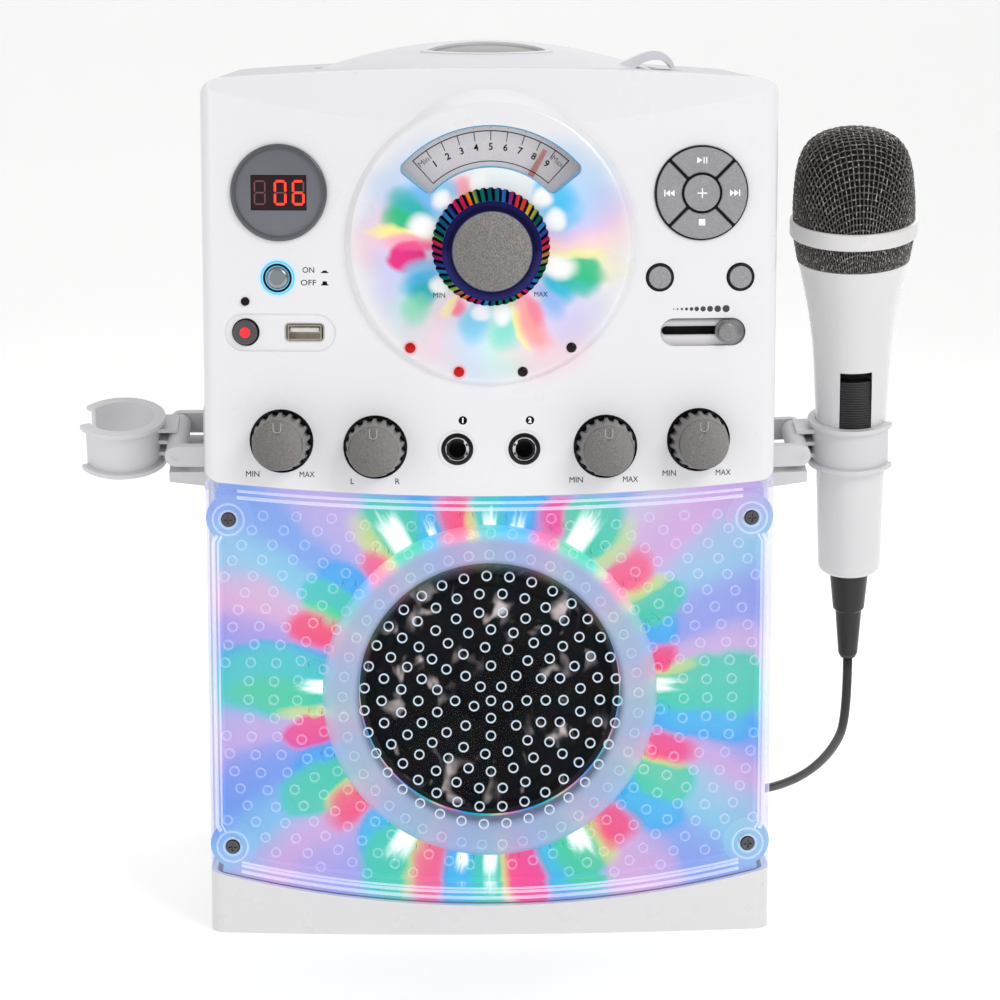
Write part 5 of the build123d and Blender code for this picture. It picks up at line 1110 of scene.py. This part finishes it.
text_outline(ink, "MAX", 1.9, 19.3, 256.0, on=-102.5, width=5.2)
for s, num in ((-1, "1"), (1, "2")):
    cx, cz = s * JACK_X + 2.2, JACK_Z + 11.2
    decal(ink, circle(1.65, 28), cx, cz, 0.07, 0.05)
ink.put("panel_print", print_ink, "cabinet", "panel_white", smooth=False, sharp=None)
wh = Geo()
for s, num in ((-1, "1"), (1, "2")):
    cx, cz = s * JACK_X + 2.2, JACK_Z + 11.2
    text_outline(wh, num, 2.0, cx, cz, out=0.10, bold=0.05)
wh.put("jack_numbers", print_white, "cabinet", "panel_white", smooth=False, sharp=None)
dots = Geo()
for i, (x, d) in enumerate(zip((70.4, 71.9, 73.6, 75.4, 77.35, 79.4, 81.9, 84.6, 87.6, 90.9), (0.5, 0.7, 0.95, 1.15, 1.4, 1.75, 2.05, 2.3, 2.55, 2.8))):
    decal(dots, circle(d / 2, 24), x + 0.6, 249.6, 0.07, 0.05)
dots.put("level_dots", print_grey, "cabinet", "panel_white", smooth=False, sharp=None)

# scale printed on the dial window
WIN_Y = -102.2
dial = Geo()


def dial_pt(r, deg):
    a = math.radians(deg)
    return (r * math.sin(a), VOL_Z + r * math.cos(a))


def band(geo, r0, r1, a0, a1, y, n=40, thick=0.05):
    top = [dial_pt(r1, a0 + (a1 - a0) * k / n) for k in range(n + 1)]
    bot = [dial_pt(r0, a0 + (a1 - a0) * k / n) for k in range(n + 1)]
    verts = [(x, y, z) for x, z in top] + [(x, y, z) for x, z in bot]
    geo.add(verts, [(k, k + 1, n + 2 + k, n + 1 + k) for k in range(n)])


DY = WIN_Y - 0.06
band(dial, 32.6, 32.95, -42.3, 42.3, DY)
band(dial, 44.1, 44.5, -42.3, 42.3, DY)
for sgn in (-1, 1):
    band(dial, 32.6, 44.5, sgn * 42.3 - 0.25, sgn * 42.3 + 0.25, DY, 2)
for i in range(9):
    a = -34.0 + 8.5 * i
    band(dial, 40.6, 44.3, a - 0.22, a + 0.22, DY, 2)
    x, z = dial_pt(38.3, a)
    text_outline(dial, str(i + 1), 2.7, x, z, rot=-a, out=0.06, on=WIN_Y, bold=0.022)
dial.put("dial_print", print_ink, "cabinet", "dial_clear", smooth=False, sharp=None)
ends = Geo()
for sgn, word in ((-1, "Min"), (1, "Max")):
    x, z = dial_pt(41.4, sgn * 38.3)
    text_outline(ends, word, 2.2, x, z, rot=-sgn * 38.3 + (0 if sgn > 0 else 0), out=0.06, on=WIN_Y)
ends.put("dial_ends", print_soft, "cabinet", "dial_clear", smooth=False, sharp=None)
# lit edge of the window
edge = []
for k in range(41):
    edge.append(dial_pt(46.35, -49.6 + 99.2 * k / 40))
for k in range(41):
    edge.append(dial_pt(30.5, 49.6 - 99.2 * k / 40))
eg = Geo()
eg.tube([(x, WIN_Y + 0.35, z) for x, z in edge], 0.42, seg=8, closed=True)
eg.put("dial_edge", finish_mat("dial_edge", (70, 130, 160), 0.25, emit=s2l((60, 150, 195)), emit_strength=0.45, bump=0), "cabinet", "dial_clear")
# tiny dots above the scale
dd = Geo()
for i in range(9):
    x, z = dial_pt(45.6, -34.0 + 8.5 * i)
    dd.add([(x + 0.2 * math.cos(t * math.pi / 4), DY, z + 0.2 * math.sin(t * math.pi / 4)) for t in range(8)], [tuple(range(8))])
dd.put("dial_dots", print_soft, "cabinet", "dial_clear", smooth=False, sharp=None)


# transport symbols
def flat_on_nav(geo, outline, cx, cz, out):
    """Outline about (cx, cz), both measured from the cluster's middle, on the cluster's plane."""
    m = face_frame(*NAV)
    n = len(outline)
    verts = [(cx + u, cz + v, out) for u, v in outline]
    geo.add(verts, [tuple(range(n))], m)


nav_plane_inv = face_frame(*NAV).inverted()


def top_of(node):
    """How far a node of the cluster stands out of the cluster's plane."""
    return max((nav_plane_inv @ (v.co / MM)).z for v in NODES[node].data.vertices)


sym = Geo()
o_ = top_of("play_button") + 0.03
flat_on_nav(sym, [(-2.1, -1.25), (-0.1, 0), (-2.1, 1.25)], 0, 12.6, o_)
flat_on_nav(sym, [(0.35, -1.25), (0.8, -1.25), (0.8, 1.25), (0.35, 1.25)], 0, 12.6, o_)
flat_on_nav(sym, [(1.4, -1.25), (1.85, -1.25), (1.85, 1.25), (1.4, 1.25)], 0, 12.6, o_)
sym.put("sign_play", print_white, "play_button", "button_grey", smooth=False, sharp=None)
sym = Geo()
o_ = top_of("back_button") + 0.03
flat_on_nav(sym, [(-2.1, -1.25), (-1.65, -1.25), (-1.65, 1.25), (-2.1, 1.25)], -12.7, 0, o_)
flat_on_nav(sym, [(0.15, -1.25), (0.15, 1.25), (-1.55, 0)], -12.7, 0, o_)
flat_on_nav(sym, [(1.9, -1.25), (1.9, 1.25), (0.2, 0)], -12.7, 0, o_)
sym.put("sign_back", print_white, "back_button", "button_grey", smooth=False, sharp=None)
sym = Geo()
o_ = top_of("forward_button") + 0.03
flat_on_nav(sym, [(1.65, -1.25), (2.1, -1.25), (2.1, 1.25), (1.65, 1.25)], 12.7, 0, o_)
flat_on_nav(sym, [(-1.9, -1.25), (-0.2, 0), (-1.9, 1.25)], 12.7, 0, o_)
flat_on_nav(sym, [(-0.15, -1.25), (1.55, 0), (-0.15, 1.25)], 12.7, 0, o_)
sym.put("sign_forward", print_white, "forward_button", "button_grey", smooth=False, sharp=None)
sym = Geo()
o_ = top_of("stop_button") + 0.03
flat_on_nav(sym, [(-1.25, -1.25), (1.25, -1.25), (1.25, 1.25), (-1.25, 1.25)], 0, -11.2, o_)
sym.put("sign_stop", print_white, "stop_button", "button_grey", smooth=False, sharp=None)
sym = Geo()
o_ = top_of("skip_button") + 0.03
me_pts = []
for q in ([(-1.9, -0.22), (1.9, -0.22), (1.9, 0.22), (-1.9, 0.22)], [(-0.22, -1.9), (0.22, -1.9), (0.22, 1.9), (-0.22, 1.9)]):
    flat_on_nav(sym, q, 0, 0, o_ + (0.004 if q[0][0] < -1 else 0))
sym.put("sign_plus", print_white, "skip_button", "button_grey", smooth=False, sharp=None)

# black floor and rim of the cluster
ng = Geo()
F = face_frame(*NAV)
ng.lathe([(2.6, -1.42), (18.35, -1.42), (18.35, 0.10), (18.2, 0.9), (17.95, 1.15), (17.72, 1.0), (17.72, -1.4)], 72, F)
ng.lathe([(7.05, -1.4), (7.05, 1.15), (7.3, 1.35), (7.55, 1.35), (7.8, 1.15), (7.8, -1.4)], 64, F)
for i in range(4):
    a = math.radians(45 + 90 * i)
    R4 = F @ Matrix.Rotation(a, 4, "Z")
    ng.polygon([(7.6, -0.5), (17.9, -0.5), (17.9, 0.5), (7.6, 0.5)], 2.6, R4 @ Matrix.Translation((0, 0, 1.2)))
ng.put("cluster_ring", black_gloss, "cabinet", "panel_white")

# black wells of the four knobs and of the record button, and black linings of the two round buttons' gaps as painted
# shade
kg = Geo()
for c in KNOBS.values():
    F = face_frame(*c)
    kg.lathe([(4.1, -1.42), (12.42, -1.42), (12.42, 0.06), (12.15, 0.10)], 64, F)
# painted shade: black lining of the gap round each round button
for c in (SOURCE, REPEAT):
    F = face_frame(*c)
    kg.lathe([(5.3, -3.0), (5.3, 0.02), (5.55, 0.06)], 48, F)
F = face_frame(RECORD[0], RECORD[1])
kg.lathe([(4.82, -1.3), (5.25, -1.3), (5.25, -0.84), (5.5, -0.78)], 48, F)
kg.put("dark_wells", black_gloss, "cabinet", "panel_white")

# light U line of each small knob's pointer
line_grey = finish_mat("line_grey", (188, 188, 190), 0.4, bump=0)
for kname, c in KNOBS.items():
    F = face_frame(*c)
    finv = F.inverted()
    ktop = max((finv @ (v.co / MM)).z for v in NODES[kname].data.vertices)
    u_line = [(-1.45, 8.7 - 0.6 * k) for k in range(4)]
    u_line += [(-1.45 * math.cos(math.radians(t)), 6.2 - 1.1 * math.sin(math.radians(t))) for t in range(20, 161, 20)]
    u_line += [(1.45, 6.9 + 0.6 * k) for k in range(4)]
    ul = Geo()
    ul.tube([tuple(F @ Vector((u, v, ktop - 0.04))) for u, v in u_line], 0.14, seg=6)
    ul.put("pointer_line_" + kname, line_grey, kname, "knob_grey")

# power button's lit ring
pr = Geo()
F = face_frame(*POWER)
pr.lathe([(4.42, -1.5), (4.42, 0.35), (4.8, 0.6), (5.6, 0.62), (6.0, 0.4), (6.15, 0.02)], 64, F)
pr.put("power_ring", cyan_ring, "cabinet", "panel_white")
pr = Geo()
pr.lathe([(6.15, 0.0), (6.2, 0.3), (6.45, 0.28), (6.5, 0.0)], 64, F)
pr.put("power_ring_edge", blue_line, "cabinet", "panel_white")

# record button's red dot
rg = Geo()
F = face_frame(*RECORD)
inv = F.inverted()
top = max((inv @ (v.co / MM)).z for v in NODES["record_button"].data.vertices)
rg.lathe([(0.0, top + 0.10), (1.3, top + 0.08), (2.05, top + 0.02)], 32, F)
rg.put("record_dot", red_dot, "record_button", "record_grey")


# display digits
def seg_shape(horizontal, length, thick):
    h, t = length / 2, thick / 2
    pts = [(-h, 0), (-h + t, t), (h - t, t), (h, 0), (h - t, -t), (-h + t, -t)]
    return pts if horizontal else [(v, u) for u, v in pts]


DF = face_frame(*DISPLAY)
dinv = DF.inverted()
dtop = max((dinv @ (v.co / MM)).z for v in NODES["display_module"].data.vertices)
on_g, off_g = Geo(), Geo()
LIT = [set(), set("abcdef"), set("acdefg")]
DW, DH, DT = 4.0, 8.8, 0.95
for i, cx in enumerate((-7.3, 0.6, 7.6)):
    segs = {"a": (0, DH / 2, True), "d": (0, -DH / 2, True), "g": (0, 0, True), "f": (-DW / 2, DH / 4, False), "b": (DW / 2, DH / 4, False),
            "e": (-DW / 2, -DH / 4, False), "c": (DW / 2, -DH / 4, False)}
    for k, (u, v, hz) in segs.items():
        shape = seg_shape(hz, DW - 0.35 if hz else DH / 2 - 0.35, DT if k in LIT[i] else 0.6)
        target = on_g if k in LIT[i] else off_g
        target.add([(cx + u + a_, v + b_, dtop + 0.04) for a_, b_ in shape], [tuple(range(6))], DF)
on_g.put("digits_lit", digit_on, "cabinet", "display_red", smooth=False, sharp=None)
off_g.put("digits_dim", digit_off, "cabinet", "display_red", smooth=False, sharp=None)
# soft step inside the display's rim
bg = Geo()
bg.lathe([(17.7, 0.60), (17.55, 0.92), (17.25, 1.0), (17.0, 0.9), (16.9, 0.72)], 72, DF)
bg.put("display_step", assign["display_bezel"], "cabinet", "bezel_grey")

# slider recess lining, its walls with painted shade and highlight bands
def stadium(w, h, n=16):
    r = h / 2
    pts = []
    for k in range(n + 1):
        a = -math.pi / 2 + math.pi * k / n
        pts.append((w / 2 - r + r * math.cos(a), r * math.sin(a)))
    for k in range(n + 1):
        a = math.pi / 2 + math.pi * k / n
        pts.append((-w / 2 + r + r * math.cos(a), r * math.sin(a)))
    return pts


def ring_between(geo, outer, inner, z0, z1, m):
    n = len(outer)
    verts = [(u, v, z0) for u, v in outer] + [(u, v, z1) for u, v in inner]
    geo.add(verts, [(i, (i + 1) % n, n + (i + 1) % n, n + i) for i in range(n)], m)


TF = face_frame(*TRACK)
tray_mat, tnt, tb = new_mat("slider_tray")
tg_ = N(tnt)
tz = tg_.xyz()[2]
tx = tg_.xyz()[0]
# painted shade and highlight: light and dark bands up the recess walls, as on a concave metal surface
tc = tg_.ramp(tg_.step(tz, 0.2354, 0.2458, 0, 1, False), [(0.0, s2l((196, 194, 196))), (0.3, s2l((228, 226, 228))), (0.5, s2l((180, 178, 182))), (0.85, s2l((206, 204, 208))), (1.0, s2l((120, 118, 122)))])
# painted shade: darker towards the right end of the recess
tc = tg_.mix(tg_.step(tx, 0.086, 0.099, 0.0, 0.75), tc, s2l((92, 90, 94)))
tg_.link(tc, tb.inputs["Base Color"])
tb.inputs["Roughness"].default_value = 0.25
tb.inputs["Metallic"].default_value = 0.3
tr = Geo()
ring_between(tr, stadium(33.2, 10.6), stadium(32.6, 9.9), 0.05, -0.95, TF)
sl = [(u - 1.4, v + 0.6) for u, v in stadium(29.6, 3.5)]
ring_between(tr, stadium(32.6, 9.9), sl, -0.95, -1.02, TF)
tr.put("slider_tray", tray_mat, "cabinet", "panel_white", sharp=20)
tr = Geo()
# painted shade: a black lining and floor inside the slot, standing in for the dark inside it
ring_between(tr, [(u - 1.4, v + 0.6) for u, v in stadium(29.7, 3.6)], [(u - 1.4, v + 0.6) for u, v in stadium(29.3, 3.2)], -0.98, -6.4, TF)
tr.polygon([(u - 1.4, v + 0.6) for u, v in stadium(29.3, 3.2)], 0.3, TF @ Matrix.Translation((0, 0, -6.4)))
tr.put("slider_slot", black_hole, "cabinet", "panel_white")

# usb surround and tongue
UF = face_frame(*USB)


def rounded(w, h, r, n=6):
    pts = []
    for sx, sy, a0 in ((1, 1, 0), (-1, 1, 90), (-1, -1, 180), (1, -1, 270)):
        for k in range(n + 1):
            a = math.radians(a0 + 90 * k / n)
            pts.append((sx * (w / 2 - r) + r * math.cos(a), sy * (h / 2 - r) + r * math.sin(a)))
    return pts


ug = Geo()
ring_between(ug, rounded(14.0, 6.0, 1.2), rounded(13.9, 5.9, 1.1), -0.60, -2.5, UF)
ug.put("usb_surround", black_gloss, "cabinet", "usb_chrome")
ug = Geo()
ring_between(ug, rounded(15.5, 7.5, 1.7), rounded(15.1, 7.1, 1.6), -0.88, -0.50, UF)
ring_between(ug, rounded(15.1, 7.1, 1.6), rounded(14.3, 6.3, 1.3), -0.50, -0.46, UF)
ring_between(ug, rounded(14.3, 6.3, 1.3), rounded(14.0, 6.0, 1.2), -0.46, -0.62, UF)
ug.put("usb_lip", usb_mat, "cabinet", "usb_chrome")
ug = Geo()
ug.polygon([(-5.5, 0.2), (5.5, 0.2), (5.5, 1.7), (-5.5, 1.7)], 4.0, UF @ Matrix.Translation((0, 0, -1.6)))
ug.put("usb_tongue", finish_mat("usb_tongue", (222, 220, 214), 0.35), "cabinet", "usb_chrome", smooth=False, sharp=None)

# socket rings
jg, jb = Geo(), Geo()
for s in (-1, 1):
    F = face_frame(s * JACK_X, JACK_Z)
    jb.lathe([(4.72, -0.2), (4.72, 0.95), (5.1, 1.2), (5.8, 1.1), (6.15, 0.7), (6.2, 0.1)], 48, F)
    jg.lathe([(3.35, -2.0), (3.35, 0.92), (3.55, 1.05), (4.55, 1.05), (4.72, 0.9)], 48, F)
jb.put("socket_rims", black_gloss, "cabinet", "jack_black")
jg.put("socket_rings", chrome, "cabinet", "jack_black")
jn = Geo()
for s in (-1, 1):
    F = face_frame(s * JACK_X, JACK_Z)
    for a0 in (25, 155, 205, 335):
        jn.lathe([(3.75, 1.09), (4.45, 1.09)], 4, F, start=math.radians(a0 - 7), span=math.radians(14))
jn.put("socket_notches", black_gloss, "cabinet", "jack_black")

# ------------------------------------------------------------------ clear front: bumps, beads, bosses
clear_bead = clear_material("clear_bead", 0.30, 0.85, 0.50, 0.45)
bump_mat, bnt, bb = new_mat("clear_bump")
bgm = N(bnt)
bcol, bth, brr = chamber_colour(bgm, 0.45)
# painted light: over the loudspeaker the bump rims glow white-cyan as painted highlights; elsewhere they glow in the
# chamber's lamp colours
overs = bgm.step(brr, 0.050, 0.0535)
bgm.link(bgm.mix(overs, s2l((206, 216, 226)), bcol), bb.inputs["Base Color"])
bgm.link(bgm.mix(overs, s2l((196, 214, 228)), bcol), bb.inputs["Emission Color"])
blw = bgm.node("ShaderNodeLayerWeight")
blw.inputs["Blend"].default_value = 0.4
bgm.link(bgm.mix(overs, (0.8, 0.8, 0.8, 1), bgm.ramp(blw.outputs["Facing"], [(0.0, (0.16, 0.16, 0.16)), (1.0, (0.55, 0.55, 0.55))])), bb.inputs["Alpha"])
bgm.link(bgm.step(overs, 0, 1, 0.50, 0.45, False), bb.inputs["Emission Strength"])
bb.inputs["Roughness"].default_value = 0.08
bb.inputs["Specular IOR Level"].default_value = 0.7
# rings of bumps: radius, how many, angle of the first
RINGS = [(0.0, 1, 0), (7.0, 5, 270), (14.1, 8, 0), (21.6, 15, 0), (28.6, 20, 90), (35.6, 24, 97.5), (43.0, 30, 96), (50.0, 35, 91.9), (58.4, 45, 90.5),
         (67.0, 50, 90), (76.3, 60, 0), (85.6, 72, 0), (95.6, 80, 0), (105.5, 90, 0), (115.4, 100, 0), (125.0, 110, 0), (135.0, 120, 0)]


def window_top(x):
    return 176.6 + 4.6 * (x / 102.5) ** 2 - 6.2


def window_low(x):
    return 11.9 + 12.6 * (x / 110.0) ** 2 + 7.6


bump = Geo()
profile = [(2.08, 0.0), (2.06, 0.7), (1.95, 0.95), (1.72, 0.95), (1.56, 0.7), (1.5, 0.02)]
for rr_, n, first in RINGS:
    for i in range(n):
        a = math.radians(first) + 2 * math.pi * i / n
        x, z = rr_ * math.cos(a), SPK_Z + rr_ * math.sin(a)
        if abs(x) > 104.5 or z > window_top(x) - 2.6 or z < window_low(x) + 3.0:
            continue
        if any(math.hypot(abs(x) - 102.6, z - sz) < 9.5 for sz in (35.4, 167.2)):
            continue
        bump.lathe(profile, 18, face_frame(x, z))
bump.put("clear_bumps", bump_mat, "cabinet", "clear_front", sharp=60)


HALF, ROUND = 111.7, 6.5


def skin(x):
    """Front of the body at x, with its rounded upright edges."""
    k = abs(x) - (HALF - ROUND)
    if k <= 0:
        return yf(x)
    return yf(HALF - ROUND) + ROUND - math.sqrt(max(0.0, ROUND ** 2 - k * k))


def bead_path(pts, out=0.1):
    return [(x, skin(x) - out, z) for x, z in pts]


beads = Geo()
XB = 108.7
for dz_, rad in ((-2.3, 0.55), (-4.9, 0.7)):
    pts = [(-99.0 + 198.0 * k / 60, window_top(-99.0 + 198.0 * k / 60) + 6.2 + dz_) for k in range(61)]
    beads.tube(bead_path(pts, 0.05), rad, seg=8)
for dz_, rad in ((3.2, 0.7), (5.6, 0.6), (7.0, 0.45)):
    pts = [(-99.0 + 198.0 * k / 60, window_low(-99.0 + 198.0 * k / 60) - 7.6 + dz_) for k in range(61)]
    beads.tube(bead_path(pts, 0.05), rad, seg=8)
for s in (-1, 1):
    for xo, rad in ((0.0, 0.75), (-1.9, 0.4)):
        xb = s * (XB + xo)
        corner = [(xb - s * 1.5, 160.6), (xb, 158.0), (xb, 152.0)]
        pts = corner + [(xb, 152.0 - 108.0 * k / 20) for k in range(1, 21)] + [(xb - s * 1.5, 41.5)]
        beads.tube(bead_path(pts, 0.05), rad, seg=8)
beads.put("clear_beads", clear_bead, "cabinet", "clear_front")
boss = Geo()
for sx in (-1, 1):
    for z in (35.4, 167.2):
        F = face_frame(sx * 102.6, z)
        boss.lathe([(3.05, -0.9), (3.1, 0.1), (3.5, 0.35), (3.9, 0.1), (4.0, 0.0)], 40, F)
        boss.lathe([(5.7, 0.0), (5.9, 0.35), (6.3, 0.4), (6.6, 0.05)], 40, F)
boss.put("clear_bosses", clear_bead, "cabinet", "clear_front")
# lit backing behind the bosses and the upper edge, in the colour of the chamber
glowing = Geo()
for sx in (-1, 1):
    for z in (35.4, 167.2):
        F = face_frame(sx * 102.6, z)
        glowing.lathe([(3.05, -3.6), (9.4, -3.6), (9.4, -3.2), (3.05, -3.2)], 40, F)
pts = [(-106.0 + 212.0 * k / 60, window_top(-106.0 + 212.0 * k / 60) + 5.2) for k in range(61)]
glowing.tube([(x, skin(x) + 3.4, z) for x, z in pts], 1.5, seg=10)
pts = [(-106.0 + 212.0 * k / 60, window_low(-106.0 + 212.0 * k / 60) - 3.9) for k in range(61)]
glowing.tube([(x, skin(x) + 6.6, z) for x, z in pts], 4.1, seg=14)
glowing.put("lit_backing", assign["light_reflector"], "cabinet", "clear_front")
# painted shade: a black ring in the recess round each screw head
sc = Geo()
for sx in (-1, 1):
    for z in (35.4, 167.2):
        F = face_frame(sx * 102.6, z)
        sc.lathe([(1.75, -0.7), (1.75, 0.1), (2.0, 0.2), (2.55, 0.2), (2.9, 0.05), (2.98, -0.8)], 32, F)
sc.put("screw_gaps", black_gloss, "cabinet", "screw_steel")

# ------------------------------------------------------------------ floor, backdrop, lights
floor_mat = finish_mat("floor_pale", (246, 246, 246), 0.55, bump=0, var=0.01, var_scale=3, emit=(1, 1, 1, 1), emit_strength=0.30)
fl = []
W = 4.0
rows = [(-3.0, 0.0), (1.6, 0.0)] + [(1.6 + 0.9 * math.sin(a), 0.9 - 0.9 * math.cos(a)) for a in [math.radians(x) for x in range(10, 91, 10)]] + [(2.5, 4.0)]
verts = []
for y, z in rows:
    verts += [(-W, y, z), (W, y, z)]
faces = [(2 * i, 2 * i + 1, 2 * i + 3, 2 * i + 2) for i in range(len(rows) - 1)]
floor = make_obj("floor", verts, faces, floor_mat, scale=1.0)

world = bpy.data.worlds.new("world")
scene.world = world
world.use_nodes = True
bgn = world.node_tree.nodes["Background"]
bgn.inputs[0].default_value = (1.0, 0.99, 0.985, 1)
bgn.inputs[1].default_value = 0.46


def area(name, loc, target, size, power, size_y=None, color=(1, 1, 1)):
    d = bpy.data.lights.new(name, "AREA")
    d.energy = power
    d.size = size
    if size_y:
        d.shape = "RECTANGLE"
        d.size_y = size_y
    d.color = color
    o = bpy.data.objects.new(name, d)
    scene.collection.objects.link(o)
    o.location = loc
    o.rotation_euler = (Vector(target) - Vector(loc)).to_track_quat("-Z", "Y").to_euler()
    return o


area("key", (0.9, -1.3, 1.25), (0, 0, 0.2), 0.8, 11)
area("fill", (-1.3, -1.2, 0.7), (0, 0, 0.2), 1.2, 5)
area("top", (0.1, 0.3, 1.6), (0, 0, 0.2), 1.2, 5)
area("rim", (0.9, 1.0, 0.9), (0, 0, 0.2), 0.8, 3.5)
